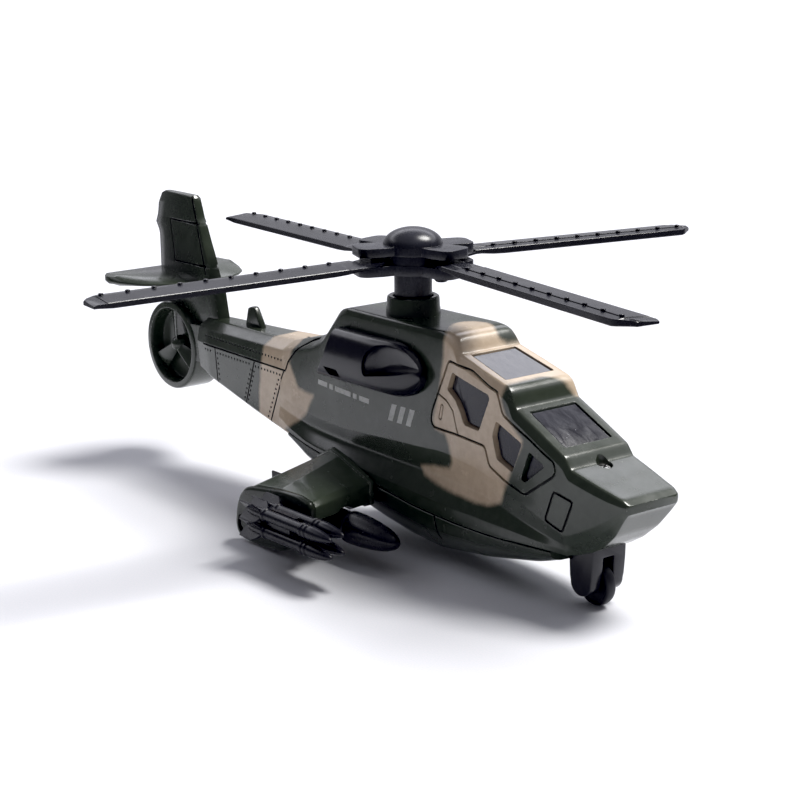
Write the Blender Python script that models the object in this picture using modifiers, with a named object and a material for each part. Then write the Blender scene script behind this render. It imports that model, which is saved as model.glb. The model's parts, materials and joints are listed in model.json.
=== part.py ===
"""Toy attack helicopter, die-cast and plastic, in metres, +Z up, nose towards +X, port side +Y.

Every separate piece is its own closed solid. Design dimensions are in millimetres, measured from the
rotor axis (x = 0, y = 0) and from the top plane of the rotor blades (z = 0), and are placed by place().
"""

import math

import bmesh
import bpy
from mathutils import Matrix, Vector

# ---------------------------------------------------------------- driving dimensions, millimetres
MM = 0.001
BLADE_PLANE_Z = 73.6      # top of the rotor blades above the ground
AXIS_X = 15.31            # rotor axis ahead of the middle of the bounding box
WALL = 1.5                # die-cast wall
GAP = 0.3                 # clearance between neighbouring pieces

MAST_R = 4.75
MAST_STEM_R = 2.6
COLLAR_R = 6.65
COLLAR_TOP = -10.4
ROTOR_YAW = -6.8          # rest angle of the first blade, degrees
ROTOR_TIP_R = 88.9
BLADE_T = 1.5
BLADE_LEAD_W = 2.7        # from the ridge to the leading edge
BLADE_TRAIL_W = 6.8       # from the ridge to the trailing edge
BLADE_DROOP = 0.0157
LOBE_ANGLES = (11.3, 69.0, 191.3, 249.0)
LOBE_PIN_R = 9.5
LOBE_R = 15.0
LOBE_W = 9.4
DOME_R = 7.5
DOME_TOP = 6.8

DUCT_X, DUCT_Z = -106.6, -40.9
DUCT_R, DUCT_BORE_R, DUCT_HALF = 12.9, 10.6, 5.0

WHEEL_R = 5.4
NOSE_WHEEL_X = 67.2
REAR_WHEEL_X = -17.5
REAR_WHEEL_Y = 31.6
REAR_WHEEL_W = 4.0
FORK_HALF = 5.4
FORK_SLOT_HALF = 1.75
PLATE_Y0, PLATE_Y1 = 34.6, 37.0   # end plate, inner and outer face

GREEN = (0.042, 0.055, 0.040)
BLACK = (0.008, 0.008, 0.011)
GLASS = (0.018, 0.019, 0.028)
STEEL = (0.55, 0.55, 0.56)

# ---------------------------------------------------------------- scene and helpers
for old in list(bpy.data.objects):
    bpy.data.objects.remove(old, do_unlink=True)

PARTS = bpy.data.collections.new("toy_helicopter")
TOOLS = bpy.data.collections.new("cutters")
bpy.context.scene.collection.children.link(PARTS)
bpy.context.scene.collection.children.link(TOOLS)


def material(name, colour, roughness, metallic=0.0):
    mat = bpy.data.materials.new(name)
    mat.use_nodes = True
    shader = mat.node_tree.nodes["Principled BSDF"]
    shader.inputs["Base Color"].default_value = (*colour, 1.0)
    shader.inputs["Roughness"].default_value = roughness
    shader.inputs["Metallic"].default_value = metallic
    return mat


PAINT = material("olive_paint", GREEN, 0.28)
BLACK_PLASTIC = material("black_plastic", BLACK, 0.3)
DARK_GLAZING = material("dark_glazing", GLASS, 0.12)
STEEL_MAT = material("steel", STEEL, 0.3, 1.0)


def place(x, y, z):
    return Vector(((x + AXIS_X) * MM, y * MM, (z + BLADE_PLANE_Z) * MM))


def finish_mesh(name, bm, mat, origin=None, collection=None):
    """Makes an object of the mesh, with its origin on a joint axis or another natural point."""
    bmesh.ops.remove_doubles(bm, verts=bm.verts, dist=1e-6)
    bmesh.ops.recalc_face_normals(bm, faces=bm.faces)
    mesh = bpy.data.meshes.new(name)
    centre = place(*origin) if origin else Vector((0, 0, 0))
    bmesh.ops.translate(bm, verts=bm.verts, vec=-centre)
    bm.to_mesh(mesh)
    bm.free()
    obj = bpy.data.objects.new(name, mesh)
    obj.location = centre
    (collection or PARTS).objects.link(obj)
    if mat:
        mesh.materials.append(mat)
    return obj


def loft_bm(rings):
    """A closed body through rings of the same number of points."""
    bm = bmesh.new()
    rows = [[bm.verts.new(place(*p)) for p in ring] for ring in rings]
    count = len(rows[0])
    for a, b in zip(rows, rows[1:]):
        for i in range(count):
            j = (i + 1) % count
            bm.faces.new((a[i], a[j], b[j], b[i]))
    bm.faces.new(rows[0])
    bm.faces.new(list(reversed(rows[-1])))
    return bm


def cylinder_bm(start, end, r1, r2=None, sides=32):
    """A closed cylinder or cone between two points."""
    bm = bmesh.new()
    a, b = place(*start), place(*end)
    axis = b - a
    turn = Vector((0, 0, 1)).rotation_difference(axis.normalized()).to_matrix().to_4x4()
    bmesh.ops.create_cone(
        bm, cap_ends=True, segments=sides, radius1=r1 * MM, radius2=(r1 if r2 is None else r2) * MM,
        depth=axis.length, matrix=Matrix.Translation((a + b) / 2) @ turn)
    return bm


def prism_bm(outline, axis, low, high):
    """A flat outline pushed along an axis: (x, z) outlines along y, (x, y) outlines along z."""
    bm = bmesh.new()
    if axis == "y":
        base = [bm.verts.new(place(a, low, b)) for a, b in outline]
        push = Vector((0, (high - low) * MM, 0))
    else:
        base = [bm.verts.new(place(a, b, low)) for a, b in outline]
        push = Vector((0, 0, (high - low) * MM))
    face = bm.faces.new(base)
    made = bmesh.ops.extrude_face_region(bm, geom=[face])
    bmesh.ops.translate(bm, verts=[v for v in made["geom"] if isinstance(v, bmesh.types.BMVert)], vec=push)
    return bm


def turned(name, profile, start, axis, mat, sides=32, origin=None):
    """A turned piece: (radius, distance) points from the far end back, with a Screw modifier about its axis."""
    mesh = bpy.data.meshes.new(name)
    mesh.from_pydata([(r * MM, 0, d * MM) for r, d in profile], [(i, i + 1) for i in range(len(profile) - 1)], [])
    raw = bpy.data.objects.new(name + "_profile", mesh)
    TOOLS.objects.link(raw)
    screw = raw.modifiers.new("turn", "SCREW")
    screw.axis = "Z"
    screw.steps = screw.render_steps = sides
    screw.use_merge_vertices = True
    screw.merge_threshold = 0.00001
    screw.use_smooth_shade = False
    bpy.context.view_layer.update()
    graph = bpy.context.evaluated_depsgraph_get()
    solid = bpy.data.meshes.new_from_object(raw.evaluated_get(graph))
    bpy.data.objects.remove(raw, do_unlink=True)
    bm = bmesh.new()
    bm.from_mesh(solid)
    turn = Vector((0, 0, 1)).rotation_difference(Vector(axis)).to_matrix().to_4x4()
    bmesh.ops.transform(bm, verts=bm.verts, matrix=Matrix.Translation(place(*start)) @ turn)
    return finish_mesh(name, bm, mat, origin)


def join(obj, *others, operation="UNION"):
    """Boolean of the object with each mesh in turn, applied at once."""
    for other in others:
        tool = other if isinstance(other, bpy.types.Object) else finish_mesh("tool", other, None, collection=TOOLS)
        tool.hide_render = True
        tool.display_type = "WIRE"
        step = obj.modifiers.new("step", "BOOLEAN")
        step.operation = operation
        step.solver = "EXACT"
        step.object = tool
        bpy.context.view_layer.update()
        graph = bpy.context.evaluated_depsgraph_get()
        result = bpy.data.meshes.new_from_object(obj.evaluated_get(graph))
        obj.modifiers.clear()
        obj.data = result
        bpy.data.objects.remove(tool, do_unlink=True)
    return obj


def cut(obj, *others):
    return join(obj, *others, operation="DIFFERENCE")


def mirrored(obj, name):
    """The port copy of a starboard piece, reflected in the centre plane."""
    bm = bmesh.new()
    bm.from_mesh(obj.data)
    bmesh.ops.transform(bm, verts=bm.verts, matrix=Matrix.Scale(-1, 4, (0, 1, 0)))
    bmesh.ops.reverse_faces(bm, faces=bm.faces)
    mesh = bpy.data.meshes.new(name)
    bm.to_mesh(mesh)
    bm.free()
    twin = bpy.data.objects.new(name, mesh)
    twin.location = (obj.location.x, -obj.location.y, obj.location.z)
    PARTS.objects.link(twin)
    return twin


def smooth(obj, degrees=35):
    obj.data.shade_smooth()
    obj.data.set_sharp_from_angle(angle=math.radians(degrees))


def inset(points, d):
    """A half outline (y, z), from the top centre down to the bottom, moved inwards by d."""
    out = []
    n = len(points)
    for i, (y, z) in enumerate(points):
        normals = []
        for a, b in ((i - 1, i), (i, i + 1)):
            if a < 0 or b >= n:
                continue
            dy, dz = points[b][0] - points[a][0], points[b][1] - points[a][1]
            length = math.hypot(dy, dz)
            normals.append((dz / length, -dy / length))
        if len(normals) == 1:
            ny, nz = normals[0]
            shift = (ny * d, nz * d)
        else:
            (ay, az), (by, bz) = normals
            k = 1 + ay * by + az * bz
            shift = ((ay + by) * d / k, (az + bz) * d / k)
        out.append((0.0 if i == 0 else y + shift[0], z + shift[1]))
    return out


def full_ring(x, half):
    """A ring from a half outline that starts and ends on the centre plane."""
    port = [(x, y, z) for y, z in half]
    star = [(x, -y, z) for y, z in reversed(half[1:-1])]
    return port + star


# ---------------------------------------------------------------- fuselage sections
# x: top edge, bevel foot, side foot, hollow, ledge, seam, each (half width, height)
BODY = {
    -46.0: ((4.5, -29.3), (8.0, -31.6), (9.2, -43.5), (9.1, -46.5), (9.6, -49.5), (9.7, -52.0)),
    -40.0: ((4.9, -27.6), (8.5, -30.2), (9.8, -44.5), (9.3, -47.8), (10.5, -51.2), (10.6, -52.6)),
    -32.0: ((5.6, -25.6), (8.9, -28.3), (10.2, -45.5), (9.4, -49.3), (11.6, -52.6), (11.7, -53.6)),
    -27.0: ((6.8, -23.8), (9.1, -26.2), (10.3, -46.0), (9.4, -49.8), (12.0, -53.1), (12.1, -54.2)),
    -21.5: ((8.0, -18.6), (9.3, -20.6), (10.4, -46.2), (9.5, -50.1), (12.2, -53.5), (12.3, -54.8)),
    -18.6: ((8.6, -15.9), (9.4, -17.6), (10.5, -46.3), (9.5, -50.2), (12.3, -53.8), (12.4, -55.2)),
    -15.6: ((8.9, -15.0), (9.5, -16.6), (10.5, -46.3), (9.6, -50.3), (12.3, -54.0), (12.4, -55.5)),
    0.0: ((8.9, -15.0), (9.5, -16.6), (10.7, -45.4), (9.8, -50.4), (12.4, -55.0), (12.6, -57.6)),
    15.0: ((8.9, -14.9), (9.5, -16.5), (10.9, -44.6), (10.1, -50.4), (12.4, -56.0), (12.6, -59.4)),
    22.5: ((8.9, -14.8), (9.6, -16.6), (11.0, -44.0), (10.4, -50.5), (12.4, -56.4), (12.5, -59.9)),
    25.4: ((8.7, -15.2), (9.8, -17.2), (11.0, -44.0), (10.5, -50.5), (12.4, -56.6), (12.5, -60.0)),
    27.6: ((8.8, -16.6), (10.1, -18.8), (11.0, -44.2), (10.6, -50.6), (12.3, -56.7), (12.5, -60.1)),
    29.6: ((9.4, -19.2), (10.6, -21.4), (11.1, -44.5), (10.6, -50.8), (12.3, -56.8), (12.5, -60.2)),
    38.0: ((9.7, -21.5), (10.8, -23.9), (11.2, -45.5), (10.6, -51.5), (12.3, -56.9), (12.4, -60.3)),
    46.6: ((9.7, -23.8), (10.9, -26.4), (11.2, -47.5), (10.6, -53.0), (12.0, -57.2), (12.2, -60.2)),
    48.0: ((9.8, -24.9), (10.9, -27.4), (11.2, -48.2), (10.6, -53.4), (11.9, -57.3), (12.1, -60.1)),
    49.7: ((9.9, -28.4), (11.0, -30.6), (11.1, -49.0), (10.6, -53.8), (11.8, -57.4), (12.0, -60.0)),
    58.0: ((9.9, -32.3), (11.0, -34.7), (10.9, -52.0), (10.4, -55.8), (11.1, -58.0), (11.2, -59.7)),
    66.4: ((9.9, -36.4), (10.9, -38.8), (10.3, -55.0), (9.6, -57.4), (9.4, -58.8), (9.0, -60.0)),
    68.4: ((9.9, -39.0), (10.8, -41.3), (10.1, -54.5), (8.8, -57.2), (7.9, -58.8), (7.0, -59.8)),
    72.0: ((9.6, -40.0), (10.5, -42.2), (9.8, -52.8), (8.3, -55.4), (7.0, -57.4), (6.0, -58.5)),
    76.0: ((9.2, -41.1), (10.0, -43.2), (9.4, -50.6), (8.2, -53.0), (7.0, -55.0), (6.1, -56.1)),
    80.0: ((8.7, -42.2), (9.4, -44.1), (9.0, -48.2), (8.2, -50.1), (7.4, -51.6), (6.8, -52.5)),
    83.4: ((8.3, -43.1), (8.7, -44.6), (8.6, -45.8), (8.3, -46.8), (8.0, -47.5), (7.7, -48.0)),
    84.6: ((7.9, -44.0), (8.1, -44.6), (8.1, -45.2), (8.0, -45.7), (7.9, -46.0), (7.7, -46.3)),
}
# x: bottom edge half width and height, lowest height on the centre plane
BELLY = {
    -41.0: (7.6, -54.6, -55.0), -32.0: (7.6, -59.4, -59.8), -18.0: (7.6, -63.9, -64.4), -2.0: (7.6, -67.4, -68.0),
    8.0: (7.6, -69.0, -69.6), 20.0: (7.4, -70.0, -70.6), 38.0: (7.2, -68.0, -68.6), 55.0: (7.0, -64.8, -65.3),
    65.6: (6.6, -61.6, -62.0),
}
BOOM = {
    -90.0: ((2.6, -30.4), (5.6, -32.4), (6.4, -36.4), (5.6, -44.2), (4.6, -44.9)),
    -84.0: ((3.2, -30.3), (6.4, -32.6), (7.2, -36.5), (6.4, -45.8), (5.4, -46.6)),
    -60.0: ((3.8, -29.6), (7.3, -32.0), (8.1, -36.6), (7.4, -50.8), (6.4, -51.8)),
    -44.0: ((4.4, -28.8), (8.0, -31.7), (8.7, -36.6), (8.2, -53.8), (7.2, -54.7)),
    -41.3: ((4.4, -28.5), (8.0, -31.5), (8.8, -36.6), (8.4, -51.0), (7.4, -51.9)),
    -38.0: ((4.4, -28.2), (8.0, -31.2), (8.8, -36.6), (8.4, -50.0), (7.4, -50.4)),
}


def between(table, x):
    """Straight interpolation in a table of sections."""
    keys = sorted(table)
    if x <= keys[0]:
        return table[keys[0]]
    if x >= keys[-1]:
        return table[keys[-1]]
    for a, b in zip(keys, keys[1:]):
        if a <= x <= b:
            t = (x - a) / (b - a)
            if isinstance(table[a][0], tuple):
                return tuple(tuple(p + (q - p) * t for p, q in zip(u, v)) for u, v in zip(table[a], table[b]))
            return tuple(p + (q - p) * t for p, q in zip(table[a], table[b]))


def body_half(x, d=0.0, floor=None):
    """Half outline of the fuselage at x, from the top centre to the seam, set in by d."""
    edges = between(BODY, x)
    half = [(0.0, edges[0][1])] + list(edges)
    if d:
        half = inset(half, d)
    if floor is None:
        half.append((0.0, half[-1][1]))
    else:
        half[-1] = (half[-1][0], floor)
        half.append((0.0, floor))
    return half


def boom_half(x, d=0.0):
    edges = between(BOOM, x)
    half = [(0.0, edges[0][1])] + list(edges)
    if d:
        half = inset(half, d)
    half.append((0.0, half[-1][1]))
    return half


# ---------------------------------------------------------------- upper fuselage
WINDOW_REAR = [(27.3, -23.7), (41.1, -26.6), (41.6, -27.5), (37.9, -36.1), (32.4, -35.6), (31.0, -33.0),
               (29.1, -30.4), (25.4, -28.4)]
WINDOW_MIDDLE = [(44.0, -32.3), (53.1, -35.9), (49.9, -43.5), (44.4, -41.4), (42.7, -36.0)]
WINDOW_FRONT = [(55.5, -37.3), (60.9, -39.7), (54.2, -45.1), (52.7, -44.4)]
WINDOW_ROOF = [(30.4, -7.1), (43.7, -7.7), (43.7, 7.7), (30.4, 7.1)]
WINDSHIELD = [(51.4, -7.3), (63.9, -7.5), (63.9, 7.5), (51.4, 7.3)]

upper = finish_mesh("upper_fuselage", loft_bm([full_ring(x, body_half(x)) for x in sorted(BODY)]), PAINT)
join(upper, loft_bm([full_ring(x, boom_half(x)) for x in sorted(BOOM)]))
join(upper, cylinder_bm((0, 0, -17.0), (0, 0, COLLAR_TOP), COLLAR_R, sides=40))
antenna = [(-73.4, -31), (-65.8, -31), (-66.0, -29.0), (-68.9, -24.9), (-70.2, -24.4), (-72.2, -25.0), (-73.4, -29.5)]
join(upper, prism_bm(antenna, "y", -0.9, 0.9))
# the hollow inside, open along the seam, and the boom's hollow behind it
CAVITY_X = [x for x in sorted(BODY) if -46 < x < 66]
cut(upper, loft_bm([full_ring(x, body_half(x, WALL, floor=-75.0)) for x in CAVITY_X + [65.0]]))
cut(upper, loft_bm([full_ring(x, boom_half(x, WALL)) for x in (-82.0, -60.0, -44.3, -41.3, -38.6)]))
# mast bore in the collar, and the hole through the roof for the stem
cut(upper, cylinder_bm((0, 0, -14.9), (0, 0, -5), MAST_R + GAP, sides=40))
cut(upper, cylinder_bm((0, 0, -25), (0, 0, -5), MAST_STEM_R + GAP, sides=24))
for side in (-1, 1):
    for outline in (WINDOW_REAR, WINDOW_MIDDLE, WINDOW_FRONT):
        cut(upper, prism_bm(outline, "y", min(side * 8.2, side * 14), max(side * 8.2, side * 14)))
cut(upper, prism_bm(WINDOW_ROOF, "z", -28.0, -12.0))
cut(upper, prism_bm(WINDSHIELD, "z", -38.0, -20.0))
# pocket for each nacelle, screw recesses, slot for the fork's foot, socket for the tail unit
NOSE_SCREW = (69.1, 0.0)
SPINE_SCREW = (-37.5, 0.0)
cut(upper, cylinder_bm((69.1, 0, -42.2), (69.1, 0, -30), 1.95, sides=20))
cut(upper, cylinder_bm((69.1, 0, -51.0), (69.1, 0, -30), 1.2, sides=16))
cut(upper, cylinder_bm((-37.5, 0, -28.1), (-37.5, 0, -20), 1.95, sides=20))
cut(upper, cylinder_bm((-37.5, 0, -32.5), (-37.5, 0, -20), 1.2, sides=16))
cut(upper, prism_bm([(64.0, -62.0), (71.8, -62.0), (71.8, -55.5), (64.0, -55.5)], "y", -FORK_HALF - GAP, FORK_HALF + GAP))

# ---------------------------------------------------------------- belly shell, an open tray
BELLY_X = [-40.8, -32.0, -18.0, -2.0, 8.0, 20.0, 38.0, 55.0, 62.0]


def belly_half(x, d=0.0):
    wide, seam = between(BODY, x)[5]
    foot, low, mid = between(BELLY, x)
    seam -= GAP
    half = [(wide, seam), (wide - 0.3, seam + (low - seam) * 0.45), (foot + (wide - foot) * 0.45, seam + (low - seam) * 0.82),
            (foot, low)]
    if d:
        half = [(y - d, z if i == 0 else z + d * (0.2 if i == 1 else 0.7 if i == 2 else 1.0)) for i, (y, z) in enumerate(half)]
        return [(0.0, seam + 3)] + [(half[0][0], seam + 3)] + half[1:] + [(0.0, mid + d)]
    return [(0.0, seam)] + half + [(0.0, mid)]


belly = finish_mesh("belly_shell", loft_bm([full_ring(x, belly_half(x)) for x in BELLY_X]), PAINT)
cut(belly, loft_bm([full_ring(x, belly_half(x, WALL)) for x in (-30.0, -18.0, -2.0, 8.0, 20.0, 38.0, 54.0)]))

# ---------------------------------------------------------------- cockpit glazing, one dark insert
GLAZE_X = [29.6, 38.0, 46.6, 48.0, 49.7, 58.0, 63.4]


def glazing_half(x, d, floor):
    """Half outline of the glazing insert: the fuselage section set in by d, ending at the floor."""
    edges = inset([(0.0, between(BODY, x)[0][1])] + list(between(BODY, x)), d)
    (ya, za), (yb, zb) = edges[2], edges[3]
    t = (floor - za) / (zb - za)
    return edges[:3] + [(ya + (yb - ya) * t, floor), (0.0, floor)]


def glazing_floor(x):
    return -43.6 - max(0.0, min(1.0, (x - 40.0) / 12.0)) * 2.4


glazing = finish_mesh("cockpit_glazing", loft_bm(
    [full_ring(x, glazing_half(x, WALL + GAP, glazing_floor(x))) for x in GLAZE_X]), DARK_GLAZING)
cut(glazing, loft_bm([full_ring(x, glazing_half(x, WALL + GAP + 1.1, -52.0)) for x in [28.0] + GLAZE_X[:-1] + [62.4]]))

# ---------------------------------------------------------------- engine nacelles
def nacelle_ring(x):
    """Starboard intake housing: a half-round outline standing out from the flank."""
    k = 1.0 if x <= 5.0 else math.sqrt(max(0.0, 1 - ((x - 5.0) / 12.9) ** 2))
    mid, tall = -26.7, 6.9
    top, low = mid + tall * k, mid - tall * k
    out = 14.9 if x <= -2 else 14.9 - 2.4 * (x + 2.0) / 20.0

    def flank(z):
        (ya, za), (yb, zb) = between(BODY, x)[1:3]
        return ya + (yb - ya) * max(0.0, min(1.0, (z - za) / (zb - za))) + GAP + 0.02

    face = flank(top)
    ring = [(x, -face, top)]
    for i in range(1, 10):
        a = math.pi * i / 10
        ring.append((x, -(face + (out - face) * math.sin(a) ** 0.6), mid + tall * k * math.cos(a)))
    for j in range(4):
        z = low + (top - low) * j / 4
        ring.append((x, -flank(z), z))
    return ring


nacelle = finish_mesh("nacelle_right", loft_bm(
    [nacelle_ring(x) for x in (-27.0, -18.0, -8.0, 0.0, 5.0, 9.0, 12.5, 15.2, 17.0, 17.7)]), BLACK_PLASTIC)
# the slanted rear end, the scooped mouth and the small square recess
REAR_END = [(-16.6, -18.0), (-16.7, -22.5), (-18.2, -27.0), (-20.6, -30.0), (-24.2, -33.6), (-30.0, -36.0), (-30.0, -18.0)]
cut(nacelle, prism_bm(REAR_END, "y", -20.0, -8.0))
MOUTH = [(-2.0, -29.7), (-2.2, -26.5), (-1.2, -23.6), (1.2, -21.7), (5.0, -20.9), (10.0, -21.1), (13.6, -22.4), (16.0, -25.0), (8.0, -27.4)]
cut(nacelle, prism_bm(MOUTH, "y", -18.0, -11.4))
cut(nacelle, prism_bm([(-18.6, -29.9), (-13.0, -29.9), (-12.2, -32.0), (-17.2, -32.0)], "y", -16.0, -12.4))
NACELLE_PEG = [(-12.0, -26.0), (4.0, -25.0)]
for px, pz in NACELLE_PEG:
    join(nacelle, cylinder_bm((px, -11.5, pz), (px, -7.0, pz), 1.4, sides=16))
    for side in (-1, 1):
        cut(upper, cylinder_bm((px, side * 5.0, pz), (px, side * 13.0, pz), 1.7, sides=16))
nacelle_left = mirrored(nacelle, "nacelle_left")
nacelle_left.data.materials.append(BLACK_PLASTIC)

# ---------------------------------------------------------------- stub wing with end plate
def wing_ring(y, t):
    """Section of the starboard wing, t from 0 at the root to 1 at the tip."""
    root = [(-22.0, -54.6), (-16.6, -51.6), (-13.4, -52.6), (-3.0, -56.9), (-0.6, -58.0), (-0.6, -62.2), (-3.0, -63.2), (-20.0, -60.4)]
    tip = [(-25.0, -60.4), (-19.6, -58.0), (-8.0, -56.4), (3.2, -57.4), (4.6, -58.6), (4.6, -61.6), (2.0, -62.6), (-22.0, -61.6)]
    return [(a[0] + (b[0] - a[0]) * t, -y, a[1] + (b[1] - a[1]) * t) for a, b in zip(root, tip)]


wing = finish_mesh("stub_wing_right", loft_bm([wing_ring(y, (y - 13.0) / (PLATE_Y1 - 13.0)) for y in (13.0, 17.0, 25.0, PLATE_Y1)]), PAINT)
PLATE = [(-19.8, -57.9), (-7.0, -56.1), (0.0, -55.8), (4.2, -56.6), (5.3, -58.0), (5.2, -63.5), (0.0, -69.0), (-8.0, -72.2),
         (-17.0, -72.9), (-24.4, -72.9), (-26.8, -71.6), (-27.6, -69.0), (-27.0, -64.6), (-25.2, -60.8), (-23.0, -58.8)]
join(wing, prism_bm(PLATE, "y", -PLATE_Y1, -PLATE_Y0))
# inner lug that carries the other end of the wheel's axle
LUG = [(-21.0, -60.0), (-14.0, -60.0), (-15.0, -69.6), (-17.5, -70.9), (-20.0, -69.6)]
join(wing, prism_bm(LUG, "y", -29.2, -27.8))
AXLE_Z = WHEEL_R - BLADE_PLANE_Z
cut(wing, cylinder_bm((REAR_WHEEL_X, -34.3, AXLE_Z), (REAR_WHEEL_X, -29.2, AXLE_Z), WHEEL_R + 0.8, sides=32))
cut(wing, cylinder_bm((REAR_WHEEL_X, -35.9, AXLE_Z), (REAR_WHEEL_X, -27.0, AXLE_Z), 0.75 + GAP, sides=16))
# two spigots that plug into the fuselage flank
for sx, sz in ((-15.0, -56.6), (-5.0, -59.6)):
    join(wing, cylinder_bm((sx, -14.0, sz), (sx, -9.4, sz), 1.3, sides=16))
WING_SOCKETS = ((-15.0, -56.6), (-5.0, -59.6))
for sx, sz in WING_SOCKETS:
    for side in (-1, 1):
        for target in (upper, belly):
            cut(target, cylinder_bm((sx, side * 8.0, sz), (sx, side * 14.0, sz), 1.6, sides=16))
wing_left = mirrored(wing, "stub_wing_left")
wing_left.data.materials.append(PAINT)

for side, tag in ((-1, "right"), (1, "left")):
    y = side * REAR_WHEEL_Y
    wheel = turned(f"rear_wheel_{tag}", [(1.05, 2.0), (2.6, 2.0), (3.2, 1.5), (4.6, 1.5), (5.2, 1.3), (5.4, 0.8), (5.4, -0.8),
                   (5.2, -1.3), (4.6, -1.5), (3.2, -1.5), (2.6, -2.0), (1.05, -2.0), (1.05, 2.0)],
                   (REAR_WHEEL_X, y, AXLE_Z), (0, -1, 0), BLACK_PLASTIC, sides=32, origin=(REAR_WHEEL_X, y, AXLE_Z))
    axle = finish_mesh(f"rear_axle_{tag}", cylinder_bm((REAR_WHEEL_X, side * 28.1, AXLE_Z), (REAR_WHEEL_X, side * 35.5, AXLE_Z), 0.75, sides=16),
                       STEEL_MAT, origin=(REAR_WHEEL_X, side * 31.0, AXLE_Z))

# ---------------------------------------------------------------- rockets and large missile under each wing
ROCKET_Y = (40.0, 44.5)
ROCKET_Z = (-59.7, -64.0)
ROCKET_X = (-9.0, 18.0)


def rocket_bm(y, z, back):
    bm = bmesh.new()
    profile = [(0.01, 22.6), (0.7, 21.6), (1.3, 18.8), (1.75, 15.2), (1.8, 11.0), (1.45, 10.2), (1.45, -8.6), (0.9, -11.0), (0.01, -11.0)]
    rows = []
    for r, d in profile:
        ring = []
        for i in range(12):
            a = 2 * math.pi * i / 12
            ring.append(bm.verts.new(place(d + back, y + r * math.cos(a), z + r * math.sin(a))))
        rows.append(ring)
    for a, b in zip(rows, rows[1:]):
        for i in range(12):
            j = (i + 1) % 12
            bm.faces.new((a[i], a[j], b[j], b[i]))
    bm.faces.new(rows[0])
    bm.faces.new(list(reversed(rows[-1])))
    return bm


def fins_onto(obj, x0, x1, y, z, r, t, turn):
    """A pair of opposite tail fins, one thin plate through the body's axis, turned about it."""
    bm = bmesh.new()
    a = math.radians(turn)
    plate = [(x0, -0.6), (x0 - 2.6, -r), (x1, -r), (x1, r), (x0 - 2.6, r), (x0, 0.6)]
    up = Vector((0, math.cos(a), math.sin(a)))
    side = Vector((0, -math.sin(a), math.cos(a)))
    low = [bm.verts.new(place(px, y, z) + up * pr * MM - side * t / 2 * MM) for px, pr in plate]
    high = [bm.verts.new(place(px, y, z) + up * pr * MM + side * t / 2 * MM) for px, pr in plate]
    bm.faces.new(low)
    bm.faces.new(list(reversed(high)))
    for i in range(6):
        j = (i + 1) % 6
        bm.faces.new((low[i], high[i], high[j], low[j]))
    join(obj, bm)


cluster = finish_mesh("rocket_cluster_right", prism_bm([(-5.0, -61.0), (7.0, -61.0), (7.0, -62.7), (-5.0, -62.7)], "y", -44.4, -PLATE_Y1 - GAP), BLACK_PLASTIC)
join(cluster, prism_bm([(-5.0, -58.7), (7.0, -58.7), (7.0, -65.0), (-5.0, -65.0)], "y", -42.6, -41.3))
for yy, back in zip(ROCKET_Y, (0.4, 1.6)):
    for zz in ROCKET_Z:
        join(cluster, rocket_bm(-yy, zz, back))
for yy, back, turn, reach in zip(ROCKET_Y, (0.4, 1.6), (46, 43), (3.2, 3.4)):
    for zz in ROCKET_Z:
        for spin in (turn, turn + 90):
            fins_onto(cluster, -4.4 + back, -12.2 + back, -yy, zz, reach, 0.7, spin)
cluster_left = mirrored(cluster, "rocket_cluster_left")
cluster_left.data.materials.append(BLACK_PLASTIC)

TANK_Y, TANK_Z = -23.6, -65.3
tank = turned("large_missile_right", [(0.0, 22.8), (1.3, 22.2), (2.5, 19.6), (3.5, 15.0), (4.0, 10.0), (4.1, 6.0), (4.1, 5.0), (3.6, 4.4), (3.6, -24.0),
                                (3.2, -27.0), (2.6, -28.6), (0.0, -28.6)], (0, TANK_Y, TANK_Z), (1, 0, 0), BLACK_PLASTIC, sides=24)
for turn in (0, 90):
    fins_onto(tank, -21.6, -29.4, TANK_Y, TANK_Z, 7.0, 0.9, turn)
join(tank, prism_bm([(-14.0, -63.0), (-3.0, -63.0), (-3.6, -59.4), (-13.2, -59.4)], "y", TANK_Y - 0.9, TANK_Y + 0.9))
cut(wing, cylinder_bm((-40.0, TANK_Y, TANK_Z), (12.0, TANK_Y, TANK_Z), 4.1 + GAP + 0.1, sides=32))
cut(wing, prism_bm([(-14.4, -66.0), (-2.6, -66.0), (-3.2, -59.0), (-13.6, -59.0)], "y", TANK_Y - 1.2, TANK_Y + 1.2))
tank_left = mirrored(tank, "large_missile_left")
tank_left.data.materials.append(BLACK_PLASTIC)
bpy.data.objects.remove(wing_left, do_unlink=True)
wing_left = mirrored(wing, "stub_wing_left")
wing_left.data.materials.append(PAINT)

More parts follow.
